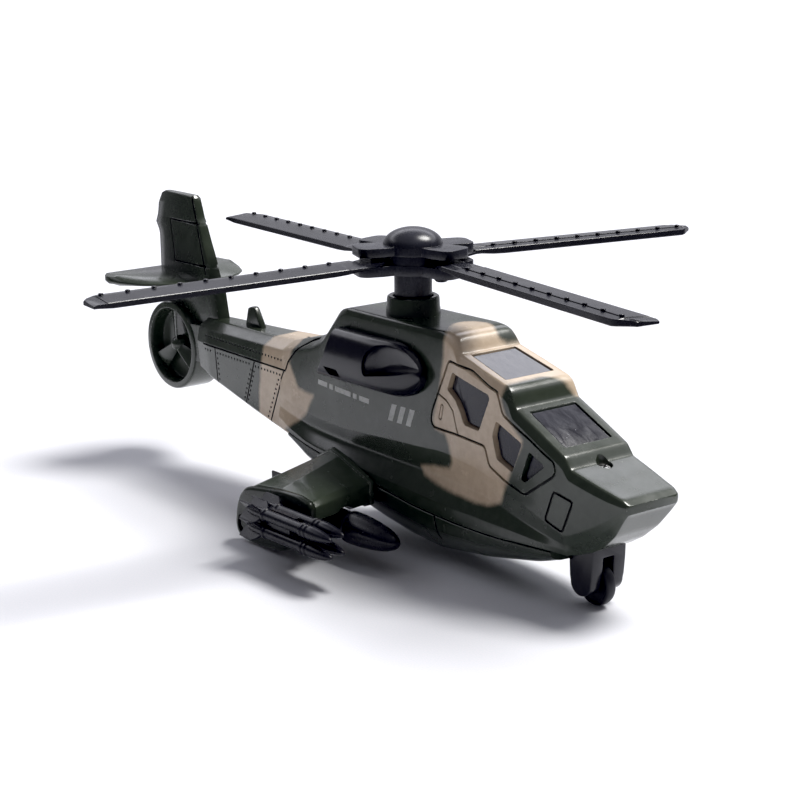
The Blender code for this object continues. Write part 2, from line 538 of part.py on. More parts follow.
# ---------------------------------------------------------------- nose gear
NOSE_AXLE_Z = AXLE_Z + 0.2
fork_side = [(63.4, -61.8), (63.6, -66.0)]
for i in range(9):
    a = math.pi + math.pi * i / 8
    fork_side.append((67.2 + 3.3 * math.cos(a), -67.2 + 3.3 * math.sin(a)))
fork_side += [(70.8, -66.0), (71.2, -61.8), (71.4, -56.2), (64.3, -56.2), (64.3, -61.8)]
fork = finish_mesh("nose_fork", prism_bm(fork_side, "y", -FORK_HALF, FORK_HALF), BLACK_PLASTIC)
cut(fork, prism_bm([(58.0, -80.0), (76.0, -80.0), (76.0, -61.0), (58.0, -61.0)], "y", -FORK_SLOT_HALF, FORK_SLOT_HALF))
cut(fork, cylinder_bm((67.2, -4.2, AXLE_Z), (67.2, 4.2, AXLE_Z), 0.75 + GAP, sides=16))
nose_wheel = turned("nose_wheel", [(1.05, 1.4), (4.8, 1.4), (5.3, 1.0), (5.4, 0.5), (5.4, -0.5), (5.3, -1.0), (4.8, -1.4), (1.05, -1.4), (1.05, 1.4)],
                    (NOSE_WHEEL_X, 0, AXLE_Z), (0, -1, 0), BLACK_PLASTIC, sides=32, origin=(NOSE_WHEEL_X, 0, AXLE_Z))
nose_axle = finish_mesh("nose_axle", cylinder_bm((67.2, -3.9, AXLE_Z), (67.2, 3.9, AXLE_Z), 0.75, sides=16), STEEL_MAT, origin=(67.2, 0, AXLE_Z))

# ---------------------------------------------------------------- tail: fin and duct, tailplane, fans
# z: rear and front edge of the fin
FIN = {3.4: (-113.4, -98.4), 2.6: (-115.4, -97.6), -0.4: (-117.4, -96.6), -2.8: (-117.8, -95.9), -4.2: (-118.2, -95.0), -6.2: (-119.2, -94.2),
       -9.0: (-117.4, -93.1), -14.0: (-117.3, -90.9), -18.4: (-117.3, -89.5), -23.0: (-117.2, -87.0), -30.5: (-115.0, -85.4), -36.0: (-112.0, -92.0)}


def fin_ring(z):
    rear, front = FIN[z]
    thick = 1.5 + 0.9 * min(1.0, (3.4 - z) / 26.0)
    port = [(rear, 0.9, z), (rear + 5.0, thick, z), (front - 6.0, thick, z), (front - 1.2, 1.1, z), (front, 0.5, z)]
    return port + [(x, -y, h) for x, y, h in reversed(port)]


tail = finish_mesh("tail_unit", loft_bm([fin_ring(z) for z in sorted(FIN, reverse=True)]), PAINT)
join(tail, cylinder_bm((DUCT_X, -DUCT_HALF, DUCT_Z), (DUCT_X, DUCT_HALF, DUCT_Z), DUCT_R, sides=48))
join(tail, loft_bm([[(x, -w, t), (x, w, t), (x, w, b), (x, -w, b)] for x, w, t, b in
                    ((-98.0, 4.6, -33.0, -44.0), (-90.4, 4.4, -32.6, -43.2))]))
cut(tail, cylinder_bm((DUCT_X, -8, DUCT_Z), (DUCT_X, -0.6, DUCT_Z), DUCT_BORE_R, sides=40))
cut(tail, cylinder_bm((DUCT_X, 0.6, DUCT_Z), (DUCT_X, 8, DUCT_Z), DUCT_BORE_R, sides=40))
cut(tail, cylinder_bm((DUCT_X, -8, DUCT_Z), (DUCT_X, 8, DUCT_Z), 0.75 + GAP, sides=16))
# seat on the boom
cut(tail, loft_bm([full_ring(x, boom_half(x, -GAP)) for x in (-90.3, -84.0, -70.0)]))
# half span: rear edge, crest line, front edge
TAILPLANE = {20.9: (-114.6, -113.4, -112.0), 20.2: (-116.6, -111.6, -108.0), 19.2: (-117.4, -110.2, -105.4), 16.9: (-117.6, -108.4, -100.8),
             13.4: (-117.6, -106.2, -97.4), 9.0: (-117.6, -104.0, -95.4), 3.0: (-117.6, -101.8, -94.5)}


def tailplane_ring(y):
    rear, crest, front = TAILPLANE[abs(y)]
    tip = 0.4 if abs(y) > 20 else 0.0
    return [(rear, y, -19.3 - tip), (crest, y, -19.1 - tip), (front, y, -20.5), (front, y, -21.1), (crest, y, -22.1 + tip), (rear, y, -21.2)]


spans = sorted(TAILPLANE)
tailplane = finish_mesh("tailplane", loft_bm([tailplane_ring(y) for y in [-v for v in reversed(spans)] + spans]), PAINT)
# the two halves are one piece, joined by a tongue that passes through a slot in the fin
cut(tailplane, prism_bm([(-125.0, -25.0), (-112.0, -25.0), (-112.0, -17.0), (-125.0, -17.0)], "y", -2.75, 2.75))
cut(tailplane, prism_bm([(-100.0, -25.0), (-90.0, -25.0), (-90.0, -17.0), (-100.0, -17.0)], "y", -2.75, 2.75))
cut(tail, prism_bm([(-112.3, -22.4), (-99.7, -22.4), (-99.7, -18.8), (-112.3, -18.8)], "y", -8.0, 8.0))
def fan(name, side):
    y0 = side * 1.2
    hub = finish_mesh(name, cylinder_bm((DUCT_X, y0, DUCT_Z), (DUCT_X, side * 4.2, DUCT_Z), 2.6, 1.4, sides=20), PAINT, origin=(DUCT_X, side * 2.7, DUCT_Z))
    for k in range(3):
        a = math.radians(97 + 120 * k)
        bm = bmesh.new()
        rows = []
        for r, half, lift in ((1.2, 1.1, 0.35), (9.8, 2.5, 0.75)):
            u = (math.cos(a), math.sin(a))
            n = (-u[1], u[0])
            ring = []
            for s, w in ((-1, -0.35), (1, -0.35), (1, 0.35), (-1, 0.35)):
                yy = side * 2.7 + s * lift + w
                ring.append(bm.verts.new(place(DUCT_X + u[0] * r + n[0] * half * s, yy, DUCT_Z + u[1] * r + n[1] * half * s)))
            rows.append(ring)
        for i in range(4):
            j = (i + 1) % 4
            bm.faces.new((rows[0][i], rows[0][j], rows[1][j], rows[1][i]))
        bm.faces.new(rows[0])
        bm.faces.new(list(reversed(rows[1])))
        bmesh.ops.recalc_face_normals(bm, faces=bm.faces)
        inverse = bmesh.new()
        inverse.free()
        join(hub, bm)
    cut(hub, cylinder_bm((DUCT_X, side * 0.5, DUCT_Z), (DUCT_X, side * 3.2, DUCT_Z), 0.75 + GAP, sides=16))
    return hub


fan("tail_fan_right", -1)
fan("tail_fan_left", 1)
finish_mesh("tail_fan_pin", cylinder_bm((DUCT_X, -2.9, DUCT_Z), (DUCT_X, 2.9, DUCT_Z), 0.75, sides=16), STEEL_MAT, origin=(DUCT_X, 0, DUCT_Z))

# ---------------------------------------------------------------- rotor
def polar(r, degrees):
    a = math.radians(degrees)
    return r * math.cos(a), r * math.sin(a)


def lobe_outline(degrees, reach, width, inner=1.0):
    """A rounded arm in plan, from near the axis to its reach."""
    a = math.radians(degrees)
    e, n = (math.cos(a), math.sin(a)), (-math.sin(a), math.cos(a))
    points = []
    corner = 2.4
    raw = [(inner, -width / 2), (reach - corner, -width / 2)]
    for i in range(1, 4):
        b = -math.pi / 2 + math.pi / 2 * i / 4
        raw.append((reach - corner + corner * math.cos(b), -width / 2 + corner + corner * math.sin(b)))
    raw.append((reach, -width / 2 + corner))
    raw += [(t, -s) for t, s in reversed(raw)]
    for t, s in raw:
        points.append((e[0] * t + n[0] * s, e[1] * t + n[1] * s))
    return points


def arms(name, low, high, centre_r):
    """The four-armed plate of the hub."""
    obj = finish_mesh(name, cylinder_bm((0, 0, low), (0, 0, high), centre_r, sides=32), BLACK_PLASTIC, origin=(0, 0, (low + high) / 2))
    for angle in LOBE_ANGLES:
        join(obj, prism_bm(lobe_outline(angle, LOBE_R, LOBE_W), "z", low, high))
    return obj


LOWER = (-4.5, -1.9)
UPPER = (0.35, 2.6)
mast = arms("rotor_mast", *LOWER, 7.5)
join(mast, cylinder_bm((0, 0, -14.6), (0, 0, -4.0), MAST_R, sides=40))
join(mast, cylinder_bm((0, 0, -3.0), (0, 0, 0.05), 4.4, sides=24))
join(mast, cylinder_bm((0, 0, -18.4), (0, 0, -14.0), MAST_STEM_R, sides=24))
join(mast, cylinder_bm((8.8, 1.9, -6.0), (8.8, 1.9, -4.0), 1.9, sides=16))
for angle in LOBE_ANGLES:
    px, py = polar(LOBE_PIN_R, angle)
    join(mast, cylinder_bm((px, py, -2.2), (px, py, 0.05), 1.5, sides=20))
cut(mast, cylinder_bm((0, 0, -20.0), (0, 0, -10.0), 1.25 + GAP, sides=16))
# the open bottom of the mast sleeve
cap = arms("rotor_hub_cap", *UPPER, 7.5)
dome_rows = [(DOME_R * math.cos(math.radians(t)), UPPER[1] - 0.2 + (DOME_TOP - UPPER[1] + 0.2) * math.sin(math.radians(t))) for t in (90, 75, 60, 45, 30, 15, 0)]
dome = turned("dome", [(0.0, dome_rows[0][1])] + [(r, z) for r, z in dome_rows[1:]] + [(DOME_R, UPPER[0] + 0.4), (0.0, UPPER[0] + 0.4)], (0, 0, 0), (0, 0, 1), None, sides=40)
join(cap, dome)
cut(mast, cylinder_bm((0, 0, -0.6), (0, 0, 0.6), 1.3, sides=12)) if False else None

for index, (lobe, base) in enumerate(zip(LOBE_ANGLES, (0, 90, 180, 270))):
    theta = ROTOR_YAW + base
    a = math.radians(theta)
    e, n = (math.cos(a), math.sin(a)), (-math.sin(a), math.cos(a))
    px, py = polar(LOBE_PIN_R, lobe)
    rings = []
    for r in (16.6, 19.0, 84.6, 87.2, ROTOR_TIP_R - 0.2):
        droop = -BLADE_DROOP * max(0.0, r - 17.0)
        lead, trail = -BLADE_LEAD_W, BLADE_TRAIL_W
        ridge = 0.0
        if r > 84.6:
            k = (r - 84.6) / (ROTOR_TIP_R - 84.6)
            lead = -BLADE_LEAD_W + 3.4 * k
            ridge = lead * 0.3 + 0.6 * k
        ring = []
        drop = 0.35 if r > 87.5 else 0.0
        for s, z in ((lead, -0.45 - drop), (max(ridge, lead + 0.3), -drop), (trail, -0.65 - drop), (trail, -BLADE_T), (lead, -BLADE_T)):
            ring.append((e[0] * r + n[0] * s, e[1] * r + n[1] * s, z + droop))
        rings.append(ring)
    blade = finish_mesh(f"rotor_blade_{index + 1}", loft_bm(rings), BLACK_PLASTIC, origin=(px, py, -0.75))
    # the root, a tang with a round eye over the hub's peg
    root = []
    for s, r in ((0.06 - BLADE_LEAD_W, 17.4), (BLADE_TRAIL_W - 0.06, 17.4)):
        root.append((e[0] * r + n[0] * s, e[1] * r + n[1] * s))
    eye = []
    start = math.atan2(root[1][1] - py, root[1][0] - px)
    for i in range(24):
        b = 2 * math.pi * i / 24
        eye.append((px + 3.7 * math.cos(b), py + 3.7 * math.sin(b)))
    points = root + eye
    # convex outline around the eye and the end of the blade
    points.sort()
    hull = []
    for sweep in (points, points[::-1]):
        chain = []
        for q in sweep:
            while len(chain) > 1 and (chain[-1][0] - chain[-2][0]) * (q[1] - chain[-2][1]) - (chain[-1][1] - chain[-2][1]) * (q[0] - chain[-2][0]) <= 0:
                chain.pop()
            chain.append(q)
        hull += chain[:-1]
    join(blade, prism_bm(hull, "z", -BLADE_T + 0.04, -0.06))
    cut(blade, cylinder_bm((px, py, -4), (px, py, 4), 1.8, sides=18))

washer = turned("mast_washer", [(1.55, 0.4), (5.4, 0.4), (5.4, -0.4), (1.55, -0.4), (1.55, 0.4)], (0, 0, -19.2), (0, 0, 1), STEEL_MAT, sides=24, origin=(0, 0, -19.2))


def screw(name, x, z, length, up=1, head_r=1.7, head_h=1.0, shank_r=0.85):
    """Cross-head self-tapping screw, its head at z, pointing down unless up is -1."""
    obj = finish_mesh(name, cylinder_bm((x, 0, z - up * head_h), (x, 0, z), head_r, sides=20), STEEL_MAT, origin=(x, 0, z))
    join(obj, cylinder_bm((x, 0, z - up * (head_h + length)), (x, 0, z - up * head_h * 0.5), shank_r, sides=12))
    for w, l in ((0.45, 2.2), (2.2, 0.45)):
        low, high = sorted((z - up * 0.45, z + up * 0.5))
        cut(obj, prism_bm([(x - w / 2, -l / 2), (x + w / 2, -l / 2), (x + w / 2, l / 2), (x - w / 2, l / 2)], "z", low, high))
    return obj


screw("mast_screw", 0.0, -20.9, 5.6, up=-1, head_r=2.4, head_h=1.0, shank_r=1.25)
screw("nose_screw", 69.1, -40.8, 7.5)
screw("spine_screw", -37.5, -26.9, 4.0)

for obj in PARTS.objects:
    tidy = bmesh.new()
    tidy.from_mesh(obj.data)
    bmesh.ops.dissolve_limit(tidy, angle_limit=math.radians(0.4), verts=tidy.verts, edges=tidy.edges)
    bmesh.ops.triangulate(tidy, faces=tidy.faces)
    if all(len(edge.link_faces) == 2 for edge in tidy.edges):
        tidy.to_mesh(obj.data)
    tidy.free()
    smooth(obj)
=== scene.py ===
"""Looks of the toy attack helicopter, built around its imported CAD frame.

Lengths are written in millimetres from the rotor axis (x = 0, y = 0) and the top plane of the blades (z = 0),
as in the CAD source, and place() turns them into the row frame in metres.
"""

import json
import math

import bmesh
import bpy
import numpy as np
from mathutils import Matrix, Vector
from mathutils.bvhtree import BVHTree

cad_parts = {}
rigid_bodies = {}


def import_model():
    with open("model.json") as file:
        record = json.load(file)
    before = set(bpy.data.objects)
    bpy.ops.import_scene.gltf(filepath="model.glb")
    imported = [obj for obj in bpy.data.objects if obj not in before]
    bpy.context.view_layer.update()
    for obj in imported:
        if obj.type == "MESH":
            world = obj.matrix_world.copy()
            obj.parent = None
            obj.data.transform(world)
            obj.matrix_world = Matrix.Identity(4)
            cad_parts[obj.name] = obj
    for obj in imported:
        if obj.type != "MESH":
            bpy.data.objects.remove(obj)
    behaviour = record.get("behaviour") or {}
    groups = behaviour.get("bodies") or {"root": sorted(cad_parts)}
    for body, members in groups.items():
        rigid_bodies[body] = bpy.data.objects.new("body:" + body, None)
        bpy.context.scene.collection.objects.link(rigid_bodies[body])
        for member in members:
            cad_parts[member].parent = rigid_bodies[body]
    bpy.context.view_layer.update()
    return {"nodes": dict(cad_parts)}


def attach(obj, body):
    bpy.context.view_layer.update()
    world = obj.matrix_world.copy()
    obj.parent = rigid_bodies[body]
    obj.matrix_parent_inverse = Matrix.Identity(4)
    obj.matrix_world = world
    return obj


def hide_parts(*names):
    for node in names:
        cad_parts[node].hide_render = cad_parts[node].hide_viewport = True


for old in list(bpy.data.objects):
    bpy.data.objects.remove(old, do_unlink=True)

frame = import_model()

# ---------------------------------------------------------------- dimensions shared with the CAD
MM = 0.001
BLADE_PLANE_Z = 73.6
AXIS_X = 15.31
GAP = 0.3
MAST_R = 4.75
COLLAR_R = 6.65
COLLAR_TOP = -10.4
ROTOR_YAW = -6.8
ROTOR_TIP_R = 88.9
BLADE_T = 1.5
BLADE_LEAD_W = 2.7
BLADE_TRAIL_W = 6.8
BLADE_DROOP = 0.0157
LOBE_ANGLES = (11.3, 69.0, 191.3, 249.0)
LOBE_PIN_R = 9.5
LOBE_R = 15.0
LOBE_W = 9.4
LOWER = (-4.5, -1.9)
UPPER = (0.35, 2.6)
DOME_R = 7.5
DOME_TOP = 6.8
DUCT_X, DUCT_Z = -106.6, -40.9
DUCT_R, DUCT_BORE_R, DUCT_HALF = 12.9, 10.6, 5.0
WHEEL_R = 5.4
AXLE_Z = WHEEL_R - BLADE_PLANE_Z
NOSE_WHEEL_X = 67.2
REAR_WHEEL_X = -17.5
REAR_WHEEL_Y = 31.6
FORK_HALF = 5.4
FORK_SLOT_HALF = 1.75
PLATE_Y0, PLATE_Y1 = 34.6, 37.0
TANK_Y, TANK_Z = -23.6, -65.3

# x: top edge, bevel foot, side foot, hollow, ledge, seam, each (half width, height)
BODY = {
    -46.0: ((4.5, -29.3), (8.0, -31.6), (9.2, -43.5), (9.1, -46.5), (9.6, -49.5), (9.7, -52.0)),
    -40.0: ((4.9, -27.6), (8.5, -30.2), (9.8, -44.5), (9.3, -47.8), (10.5, -51.2), (10.6, -52.6)),
    -32.0: ((5.6, -25.6), (8.9, -28.3), (10.2, -45.5), (9.4, -49.3), (11.6, -52.6), (11.7, -53.6)),
    -27.0: ((6.8, -23.8), (9.1, -26.2), (10.3, -46.0), (9.4, -49.8), (12.0, -53.1), (12.1, -54.2)),
    -21.5: ((8.0, -18.6), (9.3, -20.6), (10.4, -46.2), (9.5, -50.1), (12.2, -53.5), (12.3, -54.8)),
    -18.6: ((8.6, -15.9), (9.4, -17.6), (10.5, -46.3), (9.5, -50.2), (12.3, -53.8), (12.4, -55.2)),
    -15.6: ((8.9, -15.0), (9.5, -16.6), (10.5, -46.3), (9.6, -50.3), (12.3, -54.0), (12.4, -55.5)),
    0.0: ((8.9, -15.0), (9.5, -16.6), (10.7, -45.4), (9.8, -50.4), (12.4, -55.0), (12.6, -57.6)),
    15.0: ((8.9, -14.9), (9.5, -16.5), (10.9, -44.6), (10.1, -50.4), (12.4, -56.0), (12.6, -59.4)),
    22.5: ((8.9, -14.8), (9.6, -16.6), (11.0, -44.0), (10.4, -50.5), (12.4, -56.4), (12.5, -59.9)),
    25.4: ((8.7, -15.0), (9.8, -17.0), (11.0, -44.0), (10.5, -50.5), (12.4, -56.6), (12.5, -60.0)),
    27.6: ((8.8, -15.9), (10.1, -18.0), (11.0, -44.2), (10.6, -50.6), (12.3, -56.7), (12.5, -60.1)),
    29.6: ((9.4, -19.2), (10.6, -21.4), (11.1, -44.5), (10.6, -50.8), (12.3, -56.8), (12.5, -60.2)),
    38.0: ((9.7, -21.5), (10.8, -23.9), (11.2, -45.5), (10.6, -51.5), (12.3, -56.9), (12.4, -60.3)),
    46.6: ((9.7, -23.8), (10.9, -26.4), (11.2, -47.5), (10.6, -53.0), (12.0, -57.2), (12.2, -60.2)),
    48.0: ((9.8, -24.9), (10.9, -27.4), (11.2, -48.2), (10.6, -53.4), (11.9, -57.3), (12.1, -60.1)),
    49.7: ((9.9, -28.4), (11.0, -30.6), (11.1, -49.0), (10.6, -53.8), (11.8, -57.4), (12.0, -60.0)),
    58.0: ((9.9, -32.3), (11.0, -34.7), (10.9, -52.0), (10.4, -55.8), (11.1, -58.0), (11.2, -59.7)),
    66.4: ((9.9, -36.4), (10.9, -38.8), (10.3, -55.0), (9.6, -57.4), (9.4, -58.8), (9.0, -60.0)),
    68.4: ((9.9, -39.0), (10.8, -41.3), (10.1, -54.5), (8.8, -57.2), (7.9, -58.8), (7.0, -59.8)),
    72.0: ((9.6, -40.0), (10.5, -42.2), (9.8, -52.8), (8.3, -55.4), (7.0, -57.4), (6.0, -58.5)),
    76.0: ((9.2, -41.1), (10.0, -43.2), (9.4, -50.6), (8.2, -53.0), (7.0, -55.0), (6.1, -56.1)),
    80.0: ((8.7, -42.2), (9.4, -44.1), (9.0, -48.2), (8.2, -50.1), (7.4, -51.6), (6.8, -52.5)),
    83.4: ((8.3, -43.1), (8.7, -44.6), (8.6, -45.8), (8.3, -46.8), (8.0, -47.5), (7.7, -48.0)),
    84.6: ((7.9, -44.0), (8.1, -44.6), (8.1, -45.2), (8.0, -45.7), (7.9, -46.0), (7.7, -46.3)),
}
BELLY = {
    -41.0: (7.6, -54.6, -55.0), -32.0: (7.6, -59.4, -59.8), -18.0: (7.6, -63.9, -64.4), -2.0: (7.6, -67.4, -68.0),
    8.0: (7.6, -69.0, -69.6), 20.0: (7.4, -70.0, -70.6), 38.0: (7.2, -68.0, -68.6), 55.0: (7.0, -64.8, -65.3),
    65.6: (6.6, -61.6, -62.0),
}
BOOM = {
    -90.0: ((2.6, -30.4), (5.6, -32.4), (6.4, -36.4), (5.6, -44.2), (4.6, -44.9)),
    -84.0: ((3.2, -30.3), (6.4, -32.6), (7.2, -36.5), (6.4, -45.8), (5.4, -46.6)),
    -60.0: ((3.8, -29.6), (7.3, -32.0), (8.1, -36.6), (7.4, -50.8), (6.4, -51.8)),
    -44.0: ((4.4, -28.8), (8.0, -31.7), (8.7, -36.6), (8.2, -53.8), (7.2, -54.7)),
    -41.3: ((4.4, -28.5), (8.0, -31.5), (8.8, -36.6), (8.4, -51.0), (7.4, -51.9)),
    -38.0: ((4.4, -28.2), (8.0, -31.2), (8.8, -36.6), (8.4, -50.0), (7.4, -50.4)),
}
WINDOW_REAR = [(27.3, -23.7), (41.1, -26.6), (41.6, -27.5), (37.9, -36.1), (32.4, -35.6), (31.0, -33.0),
               (29.1, -30.4), (25.4, -28.4)]
WINDOW_MIDDLE = [(44.0, -32.3), (53.1, -35.9), (49.9, -43.5), (44.4, -41.4), (42.7, -36.0)]
WINDOW_FRONT = [(55.5, -37.3), (60.9, -39.7), (54.2, -45.1), (52.7, -44.4)]
WINDOW_ROOF = [(30.4, -7.1), (43.7, -7.7), (43.7, 7.7), (30.4, 7.1)]
WINDSHIELD = [(51.4, -7.3), (63.9, -7.5), (63.9, 7.5), (51.4, 7.3)]

# tan paint patches: on the flanks (x, z) and seen from above (x, y)
TAN_FLANK = [
    [(23.6, -8.0), (23.6, -21.0), (22.2, -30.2), (20.8, -34.9), (20.3, -37.0), (21.5, -38.8), (25.2, -39.3), (26.9, -42.0),
     (28.3, -45.5), (27.0, -47.8), (20.7, -48.3), (15.4, -49.6), (17.0, -51.2), (20.7, -52.1), (27.8, -53.0), (34.8, -53.6),
     (41.2, -53.6), (45.5, -51.8), (46.8, -49.1), (48.1, -46.3), (49.4, -43.5), (51.5, -38.9), (53.0, -36.5), (53.2, -35.0),
     (48.9, -32.0), (47.1, -30.2), (45.6, -27.0), (46.0, -24.5), (47.0, -8.0)],
    [(-55.0, -20.0), (-55.5, -36.5), (-57.5, -45.0), (-59.0, -60.0), (-43.0, -60.0), (-42.0, -52.0), (-32.5, -45.7), (-29.7, -40.5),
     (-36.8, -40.0), (-42.0, -33.8), (-40.4, -27.6), (-39.5, -20.0)],
]
TAN_TOP = [
    [(23.3, -14.0), (23.0, -8.0), (19.0, -3.9), (17.0, -1.0), (16.6, 2.0), (18.3, 4.6), (21.5, 5.6), (24.5, 5.0), (26.5, 4.0),
     (28.6, 3.6), (29.4, 5.5), (29.6, 14.0), (50.5, 14.0), (50.0, 9.2), (48.5, 7.8), (46.4, 5.0), (45.2, 2.0), (45.2, -2.0),
     (45.7, -8.0), (46.2, -14.0)],
    [(-55.0, -12.0), (-53.5, -4.0), (-54.5, 3.0), (-52.5, 12.0), (-38.0, 12.0), (-41.0, 4.0), (-40.0, -3.0), (-40.5, -12.0)],
]


def place(x, y, z):
    return Vector(((x + AXIS_X) * MM, y * MM, (z + BLADE_PLANE_Z) * MM))


# ---------------------------------------------------------------- node helpers
class Nodes:
    """A small builder of shader node trees."""

    def __init__(self, name):
        self.mat = bpy.data.materials.new(name)
        self.mat.use_nodes = True
        self.tree = self.mat.node_tree
        self.tree.nodes.clear()
        self.out = self.tree.nodes.new("ShaderNodeOutputMaterial")
        self.shader = self.tree.nodes.new("ShaderNodeBsdfPrincipled")
        self.tree.links.new(self.shader.outputs["BSDF"], self.out.inputs["Surface"])
        self.coords = self.tree.nodes.new("ShaderNodeTexCoord").outputs["Object"]

    def put(self, socket, value):
        if isinstance(value, bpy.types.NodeSocket):
            self.tree.links.new(value, socket)
        elif isinstance(value, tuple) and len(value) == 3 and socket.type == "RGBA":
            socket.default_value = (*value, 1.0)
        else:
            socket.default_value = value

    def set(self, name, value):
        self.put(self.shader.inputs[name], value)

    def noise(self, scale, detail=4.0, rough=0.55, distort=0.0, stretch=None):
        node = self.tree.nodes.new("ShaderNodeTexNoise")
        node.inputs["Scale"].default_value = scale
        node.inputs["Detail"].default_value = detail
        node.inputs["Roughness"].default_value = rough
        node.inputs["Distortion"].default_value = distort
        source = self.coords
        if stretch:
            mapping = self.tree.nodes.new("ShaderNodeMapping")
            mapping.inputs["Scale"].default_value = stretch
            self.tree.links.new(source, mapping.inputs["Vector"])
            source = mapping.outputs["Vector"]
        self.tree.links.new(source, node.inputs["Vector"])
        return node.outputs["Fac"]

    def cells(self, scale):
        node = self.tree.nodes.new("ShaderNodeTexVoronoi")
        node.inputs["Scale"].default_value = scale
        self.tree.links.new(self.coords, node.inputs["Vector"])
        return node.outputs["Distance"]

    def ramp(self, value, low, high, to_low=0.0, to_high=1.0, smooth=True):
        node = self.tree.nodes.new("ShaderNodeMapRange")
        node.interpolation_type = "SMOOTHSTEP" if smooth else "LINEAR"
        for name, v in (("Value", value), ("From Min", low), ("From Max", high), ("To Min", to_low), ("To Max", to_high)):
            self.put(node.inputs[name], v)
        return node.outputs["Result"]

    def math(self, op, a, b=0.0, clamp=False):
        node = self.tree.nodes.new("ShaderNodeMath")
        node.operation = op
        node.use_clamp = clamp
        self.put(node.inputs[0], a)
        self.put(node.inputs[1], b)
        return node.outputs[0]

    def mix(self, factor, a, b):
        node = self.tree.nodes.new("ShaderNodeMix")
        node.data_type = "RGBA"
        self.put(node.inputs[0], factor)
        self.put(node.inputs[6], a)
        self.put(node.inputs[7], b)
        return node.outputs[2]

    def attribute(self, name):
        node = self.tree.nodes.new("ShaderNodeAttribute")
        node.attribute_type = "GEOMETRY"
        node.attribute_name = name
        return node.outputs["Fac"]

    def bevel(self, radius, samples=6):
        node = self.tree.nodes.new("ShaderNodeBevel")
        node.samples = samples
        node.inputs["Radius"].default_value = radius
        return node.outputs["Normal"]

    def edge(self, bevel):
        """How far the rounded normal turns from the true one: large beside an edge."""
        geometry = self.tree.nodes.new("ShaderNodeNewGeometry")
        node = self.tree.nodes.new("ShaderNodeVectorMath")
        node.operation = "DOT_PRODUCT"
        self.tree.links.new(bevel, node.inputs[0])
        self.tree.links.new(geometry.outputs["Normal"], node.inputs[1])
        return self.math("SUBTRACT", 1.0, node.outputs["Value"])

    def bump(self, height, distance, strength=1.0, normal=None):
        node = self.tree.nodes.new("ShaderNodeBump")
        node.inputs["Strength"].default_value = strength
        node.inputs["Distance"].default_value = distance
        self.tree.links.new(height, node.inputs["Height"])
        if normal is not None:
            self.tree.links.new(normal, node.inputs["Normal"])
        return node.outputs["Normal"]


def paint(name, radius=0.00028, camo=True, lift=1.0, gloss=0.5):
    """Glossy olive paint on die-cast metal, with sprayed tan patches and chipped edges; lift scales the olive tones:
    above 1 it paints light on them, below 1 it paints shade.
    """
    n = Nodes(name)
    broad = n.noise(60, 3)
    mottled = n.noise(420, 5, 0.6)
    grain = n.noise(2600, 3, 0.7)
    dark, mid, light = (tuple(c * lift for c in tone) for tone in ((0.024, 0.032, 0.021), (0.034, 0.043, 0.029), (0.040, 0.050, 0.036)))
    green = n.mix(n.ramp(broad, 0.35, 0.65), dark, mid)
    green = n.mix(n.ramp(mottled, 0.3, 0.75, 0.0, 0.55), green, light)
    colour = green
    if camo:
        tan = n.mix(n.ramp(mottled, 0.3, 0.7), (0.51, 0.395, 0.285), (0.59, 0.47, 0.345))
        tan = n.mix(n.ramp(broad, 0.4, 0.7, 0.0, 0.4), tan, (0.60, 0.48, 0.35))
        field = n.math("ADD", n.attribute("tan"), n.math("MULTIPLY", n.math("SUBTRACT", n.noise(240, 3, 0.5), 0.5), 0.10))
        field = n.math("ADD", field, n.math("MULTIPLY", n.math("SUBTRACT", n.noise(2200, 2, 0.8), 0.5), 0.07))
        patch = n.ramp(field, 0.385, 0.60)
        colour = n.mix(patch, green, tan)
    soft = n.bevel(radius)
    sharp = n.edge(soft)
    chips = n.math("MULTIPLY", n.ramp(sharp, 0.015, 0.10), n.ramp(n.noise(700, 6, 0.75), 0.52, 0.62))
    colour = n.mix(n.math("MULTIPLY", chips, 0.85), colour, (0.50, 0.52, 0.46))
    specks = n.math("MULTIPLY", n.ramp(n.cells(310), 0.06, 0.02), n.ramp(n.noise(90, 2), 0.55, 0.62))
    colour = n.mix(n.math("MULTIPLY", specks, 0.5), colour, (0.5, 0.52, 0.47))
    n.set("Base Color", colour)
    n.set("Roughness", n.ramp(n.noise(180, 5, 0.6), 0.3, 0.75, 0.17, 0.31, smooth=False))
    n.shader.inputs["Specular IOR Level"].default_value = gloss
    n.shader.inputs["Coat Weight"].default_value = 0.4 * gloss
    n.shader.inputs["Coat Roughness"].default_value = 0.1
    peel = n.math("ADD", n.math("MULTIPLY", n.noise(900, 2, 0.5), 0.7), n.math("MULTIPLY", grain, 0.3))
    n.set("Normal", n.bump(peel, 0.000022, 0.55, soft))
    return n.mat


def groove_painted_shade(name):
    """Painted shade: near-black paint with a noisy tone, at the bottom of grooves, rivet pits, slots and pockets."""
    n = Nodes(name)
    n.set("Base Color", n.mix(n.ramp(n.noise(500, 5), 0.35, 0.7), (0.006, 0.007, 0.006), (0.014, 0.015, 0.012)))
    n.set("Roughness", n.ramp(n.noise(900, 3), 0.3, 0.7, 0.55, 0.8, smooth=False))
    n.set("Normal", n.bump(n.noise(1800, 3), 0.00003, 0.5))
    return n.mat


